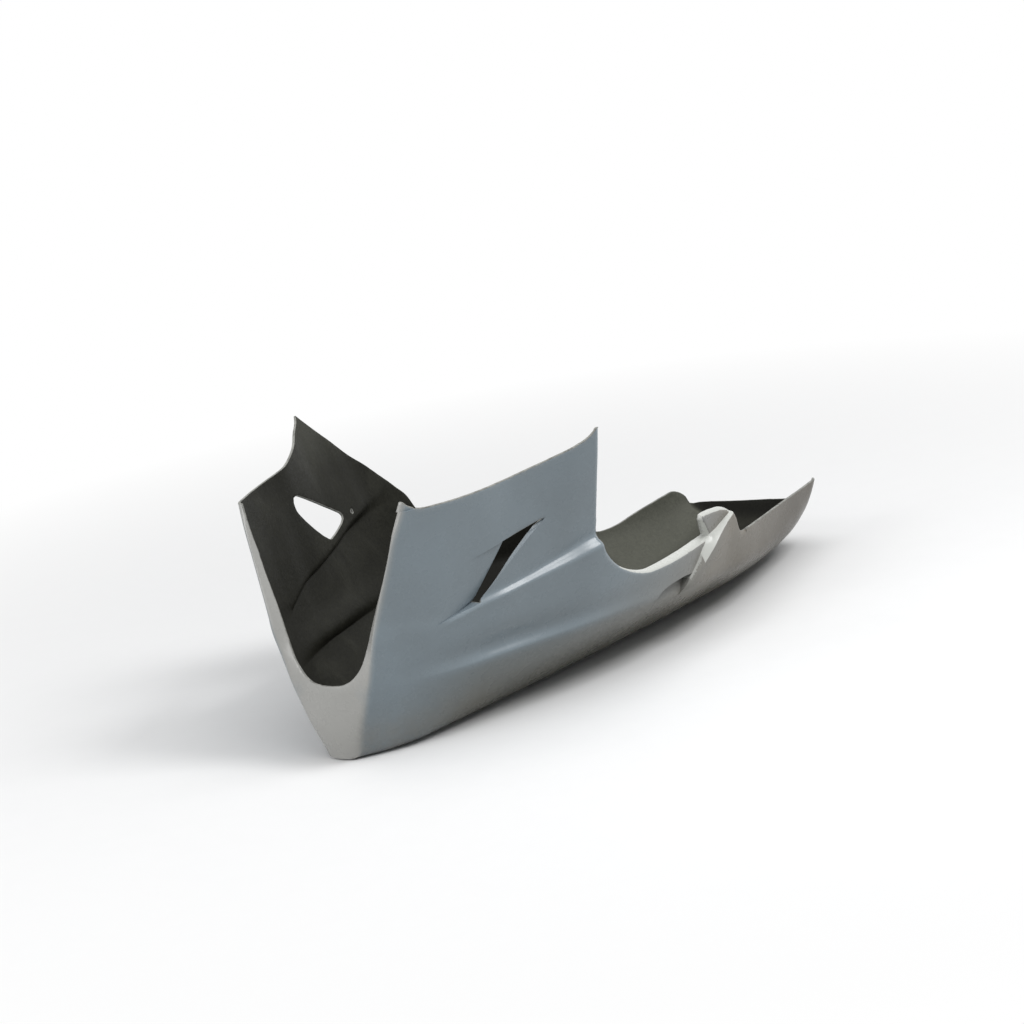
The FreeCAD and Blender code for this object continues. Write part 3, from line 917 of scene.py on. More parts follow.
def edges_of(tris: np.ndarray) -> np.ndarray:
    """The three directed edges of every triangle."""
    return np.vstack([tris[:, [0, 1]], tris[:, [1, 2]], tris[:, [2, 0]]])


def border(tris: np.ndarray, count: int) -> np.ndarray:
    """The directed edges that only one triangle uses, in a sheet of so many points."""
    edges = edges_of(tris)
    return edges[~np.isin(edge_key(*edges.T, count), edge_key(*edges.T[::-1], count))]


def outward(point: np.ndarray, rim: np.ndarray, normal: np.ndarray) -> np.ndarray:
    """The direction in the skin that leads off its border: each edge turned a quarter about the normal.

    Args:
        point: the sheet's points.
        rim: the border's directed edges.
        normal: the normal at each point.

    Returns:
        A direction for every point, nothing away from the border.
    """
    a, b = rim.T
    out = np.cross(point[b] - point[a], normal[a] + normal[b])
    push = np.zeros(point.shape)
    np.add.at(push, a, out)
    np.add.at(push, b, out)
    return push / (np.linalg.norm(push, axis=1)[:, None] + 1e-12)


def welded(point: np.ndarray, tris: np.ndarray, digits: int = 2) -> tuple[np.ndarray, np.ndarray]:
    """Joins vertices at the same place, and drops triangles that have closed up and unused vertices.

    Args:
        point: the points.
        tris: the triangles.
        digits: how many decimals two points must share to be joined.

    Returns:
        The remaining points and triangles.
    """
    used = np.unique(tris)
    rounded = np.round(point[used], digits) + 0.0
    _, first, index = np.unique(rounded, axis=0, return_index=True, return_inverse=True)
    renumber = np.zeros(len(point), int)
    renumber[used] = index.ravel()
    tris = renumber[tris]
    tris = tris[(tris[:, 0] != tris[:, 1]) & (tris[:, 1] != tris[:, 2]) & (tris[:, 2] != tris[:, 0])]
    point = point[used][first]
    used = np.unique(tris)
    renumber = np.zeros(len(point), int)
    renumber[used] = np.arange(len(used))
    return point[used], renumber[tris]


def fringe(point: np.ndarray, tris: np.ndarray, offsets: list[np.ndarray],
           live: np.ndarray) -> tuple[np.ndarray, np.ndarray]:
    """Adds a strip along part of a border.

    Args:
        point: the sheet's points.
        tris: its triangles.
        offsets: for each ring of the strip, the offset from every point.
        live: which points the strip may start from.

    Returns:
        The points and triangles with the strip added.
    """
    rim = border(tris, len(point))
    rim = rim[live[rim].any(1)]
    a, b = rim.T
    n, last_a, last_b, strips = len(point), a, b, [tris]
    for k in range(1, len(offsets) + 1):
        next_a, next_b = a + k * n, b + k * n
        strips += [np.stack([last_b, last_a, next_a], 1), np.stack([last_b, next_a, next_b], 1)]
        last_a, last_b = next_a, next_b
    return np.vstack([point] + [point + o for o in offsets]), np.vstack(strips)


@dataclass
class Shell:
    """A closed moulding made from a sheet of outer skin by giving it a wall and rounded trimmed edges."""

    wall: float = 3.0
    bulge: float = 0.9
    turns: Row = (45.0, 90.0, 135.0)

    def thicken(self, point: np.ndarray, tris: np.ndarray) -> tuple[np.ndarray, np.ndarray, np.ndarray]:
        """Adds the inner face, one wall in along the normals, and a half-round rim between the two.

        Args:
            point: the outer skin's points (s, half, z) as (forward, left, up) coordinates.
            tris: its triangles, seen anticlockwise from outside.

        Returns:
            All points, all triangles, and the finish of each triangle.
        """
        normal, stretch = self.normals(point, tris)
        inner = point - normal * (self.wall * stretch)[:, None]
        n = len(point)
        rim = border(tris, n)
        push = outward(point, rim, normal)
        users, ends = np.unique(rim, return_inverse=True)
        rings, bands = [], [rim]
        for k, turn in enumerate(self.turns):
            share = (1 - math.cos(math.radians(turn))) / 2
            middle = point[users] * (1 - share) + inner[users] * share
            rings.append(middle + push[users] * (self.bulge * math.sin(math.radians(turn))))
            bands.append(2 * n + k * len(users) + ends.reshape(rim.shape))
        bands.append(rim + n)
        strips = []
        for near, far in zip(bands[:-1], bands[1:]):
            (a0, b0), (a1, b1) = near.T, far.T
            strips += [np.stack([b0, a0, a1], 1), np.stack([b0, a1, b1], 1)]
        rim_tris = np.vstack(strips)
        every = np.vstack([tris, tris[:, ::-1] + n, rim_tris])
        finish = np.concatenate([np.full(len(tris), Face.OUTSIDE), np.full(len(tris), Face.INSIDE),
                                 np.full(len(rim_tris), Face.TRIMMED)])
        return np.vstack([point, inner] + rings), every, finish

    @staticmethod
    def normals(point: np.ndarray, tris: np.ndarray) -> tuple[np.ndarray, np.ndarray]:
        """Vertex normals: the sum of the faces' normals, each weighted by its corner's angle.

        Args:
            point: the points.
            tris: the triangles.

        Returns:
            The unit normals, and how much further an offset must go at a folded corner.
        """
        corner = point[tris]
        face = np.cross(corner[:, 1] - corner[:, 0], corner[:, 2] - corner[:, 0])
        face /= np.linalg.norm(face, axis=1)[:, None] + 1e-12
        total, weight = np.zeros((len(point), 3)), np.zeros(len(point))
        for k in range(3):
            p, q = corner[:, (k + 1) % 3] - corner[:, k], corner[:, (k + 2) % 3] - corner[:, k]
            cosine = (p * q).sum(1) / (np.linalg.norm(p, axis=1) * np.linalg.norm(q, axis=1) + 1e-12)
            angle = np.arccos(np.clip(cosine, -1, 1))
            np.add.at(total, tris[:, k], face * angle[:, None])
            np.add.at(weight, tris[:, k], angle)
        mean = total / (weight[:, None] + 1e-12)
        length = np.linalg.norm(mean, axis=1) + 1e-9
        return mean / length[:, None], np.clip(1 / length, 1, 1.4)


def add_node(tree: bpy.types.NodeTree, kind: str, inputs: dict, **options: str) -> bpy.types.Node:
    """Adds one node.

    Args:
        tree: where to.
        kind: the node's type.
        inputs: what goes into its sockets: another node's output, or a constant.
        options: its settings.

    Returns:
        The node.
    """
    node = tree.nodes.new(kind)
    for name, value in options.items():
        setattr(node, name, value)
    for name, value in inputs.items():
        if isinstance(value, Socket):
            tree.links.new(value, node.inputs[name])
        else:
            node.inputs[name].default_value = value
    return node


def shown_directly(tree: bpy.types.NodeTree) -> Socket:
    """Tells the rays that show a surface from those that only carry its light.

    Args:
        tree: the nodes of a material or a world.

    Returns:
        One where the surface is seen, mirrored or shown through glass, and else nothing.
    """
    path = add_node(tree, "ShaderNodeLightPath", {})
    seen = path.outputs["Is Camera Ray"]
    for ray in ("Is Glossy Ray", "Is Transmission Ray"):
        either = add_node(tree, "ShaderNodeMath", {0: seen, 1: path.outputs[ray]}, operation="MAXIMUM")
        seen = either.outputs[0]
    return seen


class Nodes:
    """Short ways to add and join the nodes of one material."""

    def __init__(self, name: str) -> None:
        """Makes an empty material with a surface shader joined to the output.

        Args:
            name: the material's name.
        """
        self.material = bpy.data.materials.new(name)
        self.material.use_nodes = True
        self.tree = self.material.node_tree
        self.tree.nodes.clear()
        self.shader = self.node("ShaderNodeBsdfPrincipled", {})
        self.output = self.node("ShaderNodeOutputMaterial", {"Surface": self.shader.outputs["BSDF"]})
        self.place = self.node("ShaderNodeTexCoord", {}).outputs["Object"]

    def node(self, kind: str, inputs: dict, **options: str) -> bpy.types.Node:
        """Adds one node to the material."""
        return add_node(self.tree, kind, inputs, **options)

    def join(self, **inputs: Socket) -> None:
        """Links outputs to the shader's sockets, whose names have a dash for each space."""
        for name, source in inputs.items():
            self.tree.links.new(source, self.shader.inputs[name.replace("_", " ")])

    def stretched(self, scale: Row) -> Socket:
        """The object's coordinates scaled along each axis."""
        return self.node("ShaderNodeMapping", {"Vector": self.place, "Scale": scale}).outputs["Vector"]

    def noise(self, scale: float, detail: float, rough: float = 0.5, distortion: float = 0.0,
              vector: Optional[Socket] = None) -> Socket:
        """Noise from 0 to 1 over the object, or over the given coordinates."""
        inputs = {"Vector": vector or self.place, "Scale": scale, "Detail": detail, "Roughness": rough,
                  "Distortion": distortion}
        return self.node("ShaderNodeTexNoise", inputs).outputs["Fac"]

    def cell_border(self, scale: float, vector: Socket) -> Socket:
        """The distance to the border between cells round scattered points."""
        return self.node("ShaderNodeTexVoronoi", {"Vector": vector, "Scale": scale},
                         feature="DISTANCE_TO_EDGE").outputs["Distance"]

    def ramp(self, value: Socket, stops: Sequence[tuple[float, Row]]) -> Socket:
        """A colour for each value.

        Args:
            value: from 0 to 1.
            stops: values and their colours.

        Returns:
            The colour, straight between two stops.
        """
        node = self.node("ShaderNodeValToRGB", {"Fac": value})
        elements = node.color_ramp.elements
        while len(elements) < len(stops):
            elements.new(0.5)
        for element, (position, colour) in zip(elements, stops):
            element.position = position
            element.color = (*colour, 1.0)
        return node.outputs["Color"]

    def level(self, value: Socket, *stops: Row) -> Socket:
        """A plain number for each value, straight between stops (value, number)."""
        return self.ramp(value, [(position, (number,) * 3) for position, number in stops])

    def tint(self, value: Socket, colour: Row, darkest: float = 1.0, start: float = 0.3,
             end: float = 0.7) -> Socket:
        """A colour that varies with a value, from its darkest share up to itself."""
        return self.ramp(value, [(start, tuple(c * darkest for c in colour)), (end, colour)])

    def mix(self, factor: Socket, a: Socket, b: Socket) -> Socket:
        """Two colours mixed by a factor."""
        return self.node("ShaderNodeMix", {"Factor": factor, 6: a, 7: b}, data_type="RGBA").outputs[2]

    def math(self, operation: str, a: Socket, b: Socket | float) -> Socket:
        """One step of arithmetic."""
        return self.node("ShaderNodeMath", {0: a, 1: b}, operation=operation).outputs[0]

    def attribute(self, name: str, strength: float = 1.0) -> Socket:
        """A value stored on the mesh, times a strength."""
        value = self.node("ShaderNodeAttribute", {}, attribute_name=name).outputs["Fac"]
        return value if strength == 1.0 else self.math("MULTIPLY", value, strength)

    def bump(self, height: Socket, strength: float, distance: float,
             under: Optional[Socket] = None) -> Socket:
        """Bumps the surface.

        Args:
            height: from 0 to 1.
            strength: how much of it counts.
            distance: how high it stands, in metres.
            under: another bumped normal to add to.

        Returns:
            The normal.
        """
        inputs = {"Height": height, "Strength": strength, "Distance": distance}
        if under is not None:
            inputs["Normal"] = under
        return self.node("ShaderNodeBump", inputs).outputs["Normal"]


@dataclass(frozen=True)
class GelCoat:
    """The satin grey gel-coat outside: faintly clouded, darkened low down and on the tail by painted shade,
    lightened on the front face and the rims by painted light.
    """

    light: Row = (0.220, 0.268, 0.302)
    dark: Row = (0.192, 0.230, 0.256)
    # painted light: the lighter, neutral tint of the front face
    face: Row = (0.350, 0.348, 0.332)
    # partly dust, partly painted shade: the darker, browner tint laid on the lowest skin
    dust: Row = (0.235, 0.220, 0.190)
    scuff: Row = (0.36, 0.36, 0.34)
    # painted light: the pale tint of the up-facing rim and wedge
    rim_light_tint: Row = (0.52, 0.53, 0.50)
    # painted shade: the dark tone laid on the underside below the crease
    painted_underside_shade: Row = (0.150, 0.146, 0.122)
    # painted shade: the brownish, darker tints laid on the tail
    painted_tail_shade: Row = (0.208, 0.182, 0.144)
    darkest_tail_shade: Row = (0.128, 0.106, 0.080)
    scratch_strength: float = 0.18
    chip_strength: float = 0.25
    tail_shade_strength: float = 0.85
    underside_shade_strength: float = 0.92
    roughness: Row = (0.23, 0.33)
    shine: Row = (0.50, 0.12)
    along: Row = (14.0, 260.0, 260.0)

    def material(self) -> bpy.types.Material:
        """Builds the finish.

        Returns:
            The material.
        """
        n = Nodes("gel_coat_grey")
        cloud, blotches = n.noise(9.0, 6.0, 0.55, 0.3), n.noise(24.0, 8.0, 0.65)
        low, tail_shade_amount = n.attribute("low_shade_and_wear"), n.attribute("painted_tail_shade")
        base = n.ramp(cloud, [(0.30, self.dark), (0.70, self.light)])
        # partly dust, partly painted shade: this blotchy tint darkens and browns the lower skin; the same
        # mask places the scratches
        low_dust_shade = n.math("MULTIPLY", n.level(blotches, (0.35, 0.15), (0.70, 1.0)), low)
        base = n.mix(low_dust_shade, base, n.tint(blotches, self.dust))
        streak = n.level(n.noise(1.0, 5.0, 0.7, 0.0, n.stretched(self.along)), (0.655, 0.0), (0.70, 1.0))
        scratch = n.math("MULTIPLY", streak, n.math("MULTIPLY", low, self.scratch_strength))
        base = n.mix(scratch, base, n.tint(blotches, self.scuff))
        chips = n.level(n.noise(160.0, 6.0, 0.7), (0.46, 0.0), (0.60, 1.0))
        worn = n.math("MULTIPLY", n.math("MULTIPLY", n.attribute("near_edge"), chips), self.chip_strength)
        base = n.mix(worn, base, n.tint(blotches, self.scuff))
        # painted shade on the tail, brownish and darker towards its end
        tail_shade_tint = n.ramp(tail_shade_amount, [(0.5, self.painted_tail_shade), (0.95, self.darkest_tail_shade)])
        base = n.mix(n.level(tail_shade_amount, (0.0, 0.0), (0.5, self.tail_shade_strength)), base, tail_shade_tint)
        # painted light: the front face is lightened
        base = n.mix(n.attribute("painted_front_light"), base, n.tint(cloud, self.face, 0.93))
        # painted shade: the underside below the crease is darkened in colour
        base = n.mix(n.attribute("painted_underside_shade", self.underside_shade_strength), base, n.tint(blotches, self.painted_underside_shade, 0.8, 0.2, 0.8))
        # painted light on the turned-in rim and the wedge of the tail step
        base = n.mix(n.attribute("painted_rim_light"), base, n.tint(cloud, self.rim_light_tint, 0.94))
        rough = n.level(n.noise(46.0, 7.0, 0.6), (0.3, self.roughness[0]), (0.75, self.roughness[1]))
        shine = n.level(tail_shade_amount, (0.25, self.shine[0]), (0.95, self.shine[1]))
        peel = n.bump(n.noise(420.0, 3.0), 0.05, 0.0006)
        wave = n.bump(n.noise(13.0, 2.0), 0.10, 0.004, peel)
        n.join(Base_Color=base, Roughness=rough, Specular_IOR_Level=shine, Normal=wave)
        return n.material


@dataclass(frozen=True)
class RawLaminate:
    """The bare laminate inside: dark resin over chopped strands, dull and blotched, lightened on the right
    wall's hump by painted light and darkened in the pan and the tail by painted shade.
    """

    resin: Row = (0.006, 0.006, 0.004)
    strand: Row = (0.020, 0.020, 0.015)
    dust: Row = (0.040, 0.040, 0.031)
    # partly painted light, partly dust: the lighter tint is painted light on the right wall's hump, and dust
    # in its top corner
    hump_light_and_dust: Row = (0.105, 0.107, 0.088)
    hump_light_and_dust_strength: float = 0.9
    roughness: Row = (0.36, 0.58)
    lay: Row = (1.0, 0.35, 1.0)

    def material(self) -> bpy.types.Material:
        """Builds the finish.

        Returns:
            The material.
        """
        n = Nodes("raw_laminate_dark")
        weave, blotch = n.noise(150.0, 9.0, 0.72, 1.6), n.noise(17.0, 7.0, 0.62, 0.6)
        base = n.ramp(weave, [(0.34, self.resin), (0.66, self.strand)])
        strands = n.level(n.cell_border(210.0, n.stretched(self.lay)), (0.0, 0.55), (0.12, 0.0))
        base = n.mix(strands, base, n.ramp(blotch, [(0.3, self.resin), (0.7, self.strand)]))
        powder = n.level(blotch, (0.50, 0.0), (0.78, 0.75))
        base = n.mix(powder, base, n.ramp(weave, [(0.0, self.strand), (1.0, self.dust)]))
        # painted light on the right wall's hump, and dust in that wall's top corner
        base = n.mix(n.attribute("lit_hump_and_dust", self.hump_light_and_dust_strength), base, n.tint(weave, self.hump_light_and_dust, 0.72))
        # painted shade: the laminate is darkened low in the pan and in the tail
        base = n.mix(n.attribute("deep"), base, n.tint(weave, self.resin, 0.4))
        rough = n.level(weave, (0.3, self.roughness[0]), (0.7, self.roughness[1]))
        n.join(Base_Color=base, Roughness=rough,
               Normal=n.bump(blotch, 0.35, 0.003, n.bump(weave, 0.55, 0.0009)))
        n.shader.inputs["Specular IOR Level"].default_value = 0.08
        return n.material


@dataclass(frozen=True)
class TrimmedEdge:
    """The cut edge of the laminate: pale resin and glass, smeared with grey from the outside."""

    glass: Row = (0.26, 0.26, 0.24)
    smear: Row = (0.10, 0.10, 0.09)
    roughness: Row = (0.45, 0.70)

    def material(self) -> bpy.types.Material:
        """Builds the finish.

        Returns:
            The material.
        """
        n = Nodes("trimmed_edge_pale")
        layers = n.noise(120.0, 8.0, 0.7, 0.4)
        rough = n.level(layers, (0.3, self.roughness[0]), (0.7, self.roughness[1]))
        n.join(Base_Color=n.ramp(layers, [(0.34, self.smear), (0.58, self.glass)]), Roughness=rough,
               Normal=n.bump(layers, 0.3, 0.0006))
        return n.material


@dataclass(frozen=True)
class PaleFloor:
    """The plain pale floor that the fairing stands on, which goes over into white far away."""

    size: float = 24.0
    white_from: float = 0.39
    white_at: float = 1.3
    seen: Row = (0.76, 0.76, 0.76)
    bounced: Row = (0.54, 0.54, 0.53)

    def build(self) -> None:
        h = self.size / 2
        mesh = bpy.data.meshes.new("pale_floor")
        mesh.from_pydata([(-h, -h, 0), (h, -h, 0), (h, h, 0), (-h, h, 0)], [], [(0, 1, 2, 3)])
        floor = bpy.data.objects.new("pale_floor", mesh)
        bpy.context.scene.collection.objects.link(floor)
        mesh.materials.append(self.material())
        floor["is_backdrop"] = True
        log.info("floor: %.0f m square", self.size)

    def material(self) -> bpy.types.Material:
        """Builds the finish: lighter where it is seen than where it throws light back on the fairing.

        Returns:
            The material.
        """
        n = Nodes("floor_pale")
        grain, shown = n.noise(30.0, 4.0), shown_directly(n.tree)
        light = n.tint(grain, self.seen, 0.985, 0.2, 0.8)
        n.join(Base_Color=n.mix(shown, n.tint(grain, self.bounced), light))
        n.shader.inputs["Roughness"].default_value = 0.9
        n.shader.inputs["Specular IOR Level"].default_value = 0.1
        away = n.node("ShaderNodeVectorMath", {0: n.place}, operation="LENGTH").outputs["Value"]
        share = n.math("DIVIDE", away, self.white_at)
        far = n.math("MULTIPLY", n.level(share, (self.white_from / self.white_at, 0.0), (1.0, 1.0)), shown)
        white = n.node("ShaderNodeEmission", {"Strength": 1.0}).outputs["Emission"]
        both = n.node("ShaderNodeMixShader", {"Fac": far, 1: n.shader.outputs["BSDF"], 2: white})
        n.tree.links.new(both.outputs["Shader"], n.output.inputs["Surface"])
        return n.material


@dataclass(frozen=True)
class WearAndPaintedLight:
    """Where the moulding is worn at its edges, where dust lies, and where painted shade and painted light lie
    on it, as fields from nothing to one.

    Each pair of numbers says where a field starts to rise and where it is full, in mm.
    """

    lines: HullLines
    trim: Trim
    step: TailStep
    roll: EdgeRoll
    near_edge: Row = (5, 0)
    # how far up the painted shade low down and the scratches reach
    low_shade_and_wear: Row = (74, 4)
    low_power: float = 1.5
    # where the painted shade on the underside starts, thickens and fades in at the front
    underside_shade_edge: Row = (0, 8)
    underside_shade_fall: Row = (0, 60)
    underside_shade_share: float = 0.45
    underside_shade_front: Row = (20, 120)
    # where the painted shade on the tail rises, leaning with height
    painted_tail_shade: Row = (144, 624)
    tail_shade_lean: float = 1.1
    # where the painted light on the front face ends
    face_width: float = 6.0
    face_past: Row = (5, 6, 4)
    # where painted light lies on the hump, and dust in the top corner
    hump: Rows = ((560, 600), (742, 739), (30, 70))
    corner: Rows = ((235, 280), (190, 230))
    corner_dust: float = 0.35
    # where painted shade darkens the laminate inside
    pan: Rows = ((330, 390), (570, 540), (125, 105))
    tail: Row = (738, 746)
    # where the painted light lies on the rim, the wedge and just below the wedge
    rim: Row = (284, 519, 99)
    wedge: Row = (442, 520)
    wedge_foot: Row = (418, 3.5, 0.5)

    def painted_underside_shade(self, s: np.ndarray, z: np.ndarray) -> np.ndarray:
        """How thick the painted shade lies on the underside: it starts at the crease and thickens down to the
        keel.
        """
        depth = Curve(self.lines.crease, 2)(s) - z
        at_once, further = rising(depth, *self.underside_shade_edge), rising(depth, *self.underside_shade_fall)
        return (self.underside_shade_share * at_once + (1 - self.underside_shade_share) * further) * rising(s, *self.underside_shade_front)

    def tail_shading(self, s: np.ndarray, z: np.ndarray) -> np.ndarray:
        """How much brownish painted shade lies on the coat, which is most on the tail."""
        return rising(s - self.tail_shade_lean * z, *self.painted_tail_shade)

    def painted_front_light(self, s: np.ndarray, half: np.ndarray, z: np.ndarray) -> np.ndarray:
        """Finds the front face, which is lightened by painted light and ends at the leading ridge or the lip.

        Args:
            s: the distances back.
            half: the breadths from the middle plane.
            z: the heights.

        Returns:
            One on the front face, falling to nothing just behind it.
        """
        ridge_s, ridge_half, lip_s = (Curve(rows, k)(z) for rows, k in
                                      ((self.lines.ridge, 1), (self.lines.ridge, 2), (self.lines.lip, 1)))
        by_ridge, by_lip, out = self.face_past
        reach = np.maximum(ridge_s + by_ridge, lip_s + by_lip)
        return rising(reach - s, 0, self.face_width) * rising(ridge_half + out - half, 0, self.face_width)

    def dust(self, s: np.ndarray, y: np.ndarray, z: np.ndarray) -> np.ndarray:
        """Finds where painted light lies on the hump inside, and where dust lies in the top corner.

        Args:
            s: the distances back.
            y: the places across, the rider's left being positive.
            z: the heights.

        Returns:
            One on the right wall's hump, and a little in that wall's top corner.
        """
        from_front, from_rear, from_middle = self.hump
        hump = rising(s, *from_front) * rising(s, *from_rear) * rising(-y, *from_middle)
        corner = rising(z, *self.corner[0]) * rising(s, *self.corner[1]) * (y < 0)
        return np.maximum(hump, self.corner_dust * corner)

    def dark(self, s: np.ndarray, z: np.ndarray) -> np.ndarray:
        """Where painted shade darkens the laminate inside: low in the pan, and in the tail."""
        from_front, from_rear, from_top = self.pan
        return np.maximum(rising(s, *from_front) * rising(s, *from_rear) * rising(z, *from_top),
                          rising(s, *self.tail))

    def edge(self, place: np.ndarray) -> np.ndarray:
        """One at a trimmed edge, falling to nothing a few millimetres away.

        Args:
            place: points (s, y, z).

        Returns:
            The nearness of each point, by the trim of its own side.
        """
        s, y, z = place.T
        gap = np.full(len(place), 1e3)
        for side in Side:
            mine = y * side.value >= 0
            for line in self.trim.fields(side):
                gap[mine] = np.minimum(gap[mine], np.abs(line(s[mine], np.abs(y[mine]), z[mine])))
        return rising(gap, *self.near_edge)

    def pale(self, place: np.ndarray) -> np.ndarray:
        """One on the turned-in rim and on the wedge of the tail step, which face up and are lightened by
        painted light.

        Args:
            place: the faces' centres (s, y, z).

        Returns:
            The painted light on each face, in part below the wedge.
        """
        s, y, z = place.T
        start, end, above = self.rim
        rear = self.trim.fields(Side.LEFT)[1](s, np.abs(y), z)
        rim = (rear < self.roll.clear) & (s > start) & (s < end) & (z > above) & (z < self.roll.top + 3)
        edge, slope = Curve(self.step.edge)(s), Curve(self.step.slope)(s)
        (front, back), (foot, width, share) = self.wedge, self.wedge_foot
        wedge = (s > front) & (s < back) & (z > edge) & (z < edge + slope)
        below = (s > foot) & (s <= front) & (z > edge + slope - width) & (z < edge + slope)
        return ((rim | wedge) * 1.0 + below * share) * (y > 0)

    def by_name(self, place: np.ndarray) -> dict[str, np.ndarray]:
        """The fields that the finishes read at each vertex.

        Args:
            place: the vertices (s, y, z).

        Returns:
            The fields by attribute name.
        """
        s, y, z = place.T
        return {"near_edge": self.edge(place), "low_shade_and_wear": rising(z, *self.low_shade_and_wear) ** self.low_power,
                "painted_underside_shade": self.painted_underside_shade(s, z), "painted_tail_shade": self.tail_shading(s, z),
                "painted_front_light": self.painted_front_light(s, np.abs(y), z), "lit_hump_and_dust": self.dust(s, y, z),
                "deep": self.dark(s, z)}


@dataclass(frozen=True)
class FairingShell:
    """The whole moulding: its sizes, its trims and the features of its left side."""

    nose_x: float = 377.85
    spacing: Rows = ((0, 2.2), (60, 3.4), (200, 3.8), (235, 2.8), (290, 3.4), (330, 4.4), (415, 4.4),
                     (427, 1.8), (446, 1.8), (470, 2.8), (500, 2.4), (532, 1.8), (550, 4.6), (775, 5))
    row_counts: tuple[int, ...] = (7, 5, 7, 38, 4, 30, 12)
    row_easing: float = 0.4
    keel_count: int = 20
    sharp_from: float = 38.0
    lines: HullLines = field(default_factory=HullLines)
    trim: Trim = field(default_factory=Trim)
    step: TailStep = field(default_factory=TailStep)
    louvre: Louvre = field(default_factory=Louvre)
    scoop: Scoop = field(default_factory=Scoop)
    flange: CornerFlange = field(default_factory=CornerFlange)
    roll: EdgeRoll = field(default_factory=EdgeRoll)
    shell: Shell = field(default_factory=Shell)

    def _rows(self) -> np.ndarray:
        """Lays out the rows above the keel.

        Returns:
            The rows, closer together next to each corner of the section.
        """
        rows = [np.array([1.0])]
        for k, count in enumerate(self.row_counts):
            t = np.linspace(0, 1, count + 1)[1:]
            rows.append(k + 1 + (1 - self.row_easing) * t + self.row_easing * t * t * (3 - 2 * t))
        return np.concatenate(rows)

    def _columns(self) -> np.ndarray:
        """Lays out the columns from the ridge to the tail.

        Returns:
            The columns as shares of the length, as close together as each stretch needs.
        """
        s = np.linspace(0, self.lines.tail_end, 4000)
        count = np.cumsum(1 / Curve(self.spacing)(s))
        steps = np.linspace(count[0], count[-1], int(count[-1] * (s[1] - s[0])))
        return np.interp(steps, count, s) / self.lines.tail_end

    def half_sheet(self, skin: HullSkin, side: Side) -> tuple[np.ndarray, np.ndarray]:
        """Makes one half of the outer skin, trimmed, with its features.

        Args:
            skin: the hull's formulas.
            side: which half.

        Returns:
            Points (s, signed half, z), and triangles seen anticlockwise from outside.
        """
        sheet = Sheet.over(skin, self._columns(), self._rows(), self.keel_count)
        fields = self.trim.fields(side)
        for line in fields:
            sheet.drop(sheet.split(line) < 0)
        if side is Side.LEFT:
            self.step.mark(sheet)
            self.louvre.mark(sheet)
            self.scoop.mark(sheet, self.step)
            self.flange.mark(sheet)
            self.roll.mark(sheet, fields[1])
            sheet.drop(sheet.zones == Zone.HOLE)
        point, tris = self._variants(sheet, side, fields[1])
        if side is Side.LEFT:
            point, tris = self._turned_edges(point, tris, fields[1])
        point = point * (1.0, side.value, 1.0)
        if side is Side.RIGHT:
            tris = tris[:, ::-1]
        log.info("%s half: %d triangles of outer skin", side.name.lower(), len(tris))
        return point, tris

    def _turned_edges(self, point: np.ndarray, tris: np.ndarray,
                      rear: Field) -> tuple[np.ndarray, np.ndarray]:
        """Adds the flat rim behind the cut-out and the tab, and the lip of the louvre's slot.

        Args:
            point: the left skin's points.
            tris: its triangles.
            rear: the field of the trimmed edge behind.

        Returns:
            The points and triangles with both strips.
        """
        live = self.roll.depth(point, rear) > 0.05
        point, tris = welded(*fringe(point, tris, self.roll.turn_in(point, rear), live))
        lip = self.louvre.lip(point)
        return welded(*fringe(point, tris, [lip * 0.2, lip * 0.6, lip], np.abs(lip).sum(1) > 0.1))

    def _variants(self, sheet: Sheet, side: Side, rear: Field) -> tuple[np.ndarray, np.ndarray]:
        """Places each zone's vertices and adds the walls where two zones stand at different depths.

        Args:
            sheet: the trimmed and marked sheet.
            side: which half, since only the left one swells.
            rear: the field of the trimmed edge behind.

        Returns:
            The points and the triangles.
        """
        flat = Curve([(0, 0), (1, 0)])
        plain = sheet.place(swell=sheet.skin.left_swell if side is Side.LEFT else flat)
        if side is Side.LEFT:
            plain[:, 1] = self.step.half(plain, sheet.place(swell=sheet.skin.tail_swell))
            plain[:, 1] = self.roll.ease(plain, rear)
        flap, hollow, set_in = plain.copy(), plain.copy(), plain.copy()
        flap[:, 1] = self.louvre.half(plain)
        hollow[:, 1] = self.scoop.half(plain)
        set_in[:, 1] -= self.flange.depth
        n = len(sheet.params)
        point = np.vstack([plain, flap, hollow, set_in])
        tris = [sheet.tris + sheet.zones[:, None] * n]
        edges = edges_of(sheet.tris)
        zone = np.tile(sheet.zones, 3)
        key, back = edge_key(*edges.T, n), edge_key(*edges.T[::-1], n)
        order = np.argsort(key)
        found = np.clip(np.searchsorted(key[order], back), 0, len(key) - 1)
        partner = order[found]
        shared = (key[partner] == back) & (zone < zone[partner])
        a, b = edges[shared].T
        first, second = zone[shared], zone[partner][shared]
        # Where neither zone is plain skin, the wall goes by way of it, so that walls meet edge to edge.
        direct = first == Zone.SKIN
        stages = [(a[direct], b[direct], first[direct], second[direct])]
        zero = np.zeros((~direct).sum(), int)
        stages += [(a[~direct], b[~direct], first[~direct], zero),
                   (a[~direct], b[~direct], zero, second[~direct])]
        for p, q, one, two in stages:
            a1, b1, a2, b2 = p + one * n, q + one * n, p + two * n, q + two * n
            tris += [np.stack([b1, a1, a2], 1), np.stack([b1, a2, b2], 1)]
        return welded(point, np.vstack(tris))

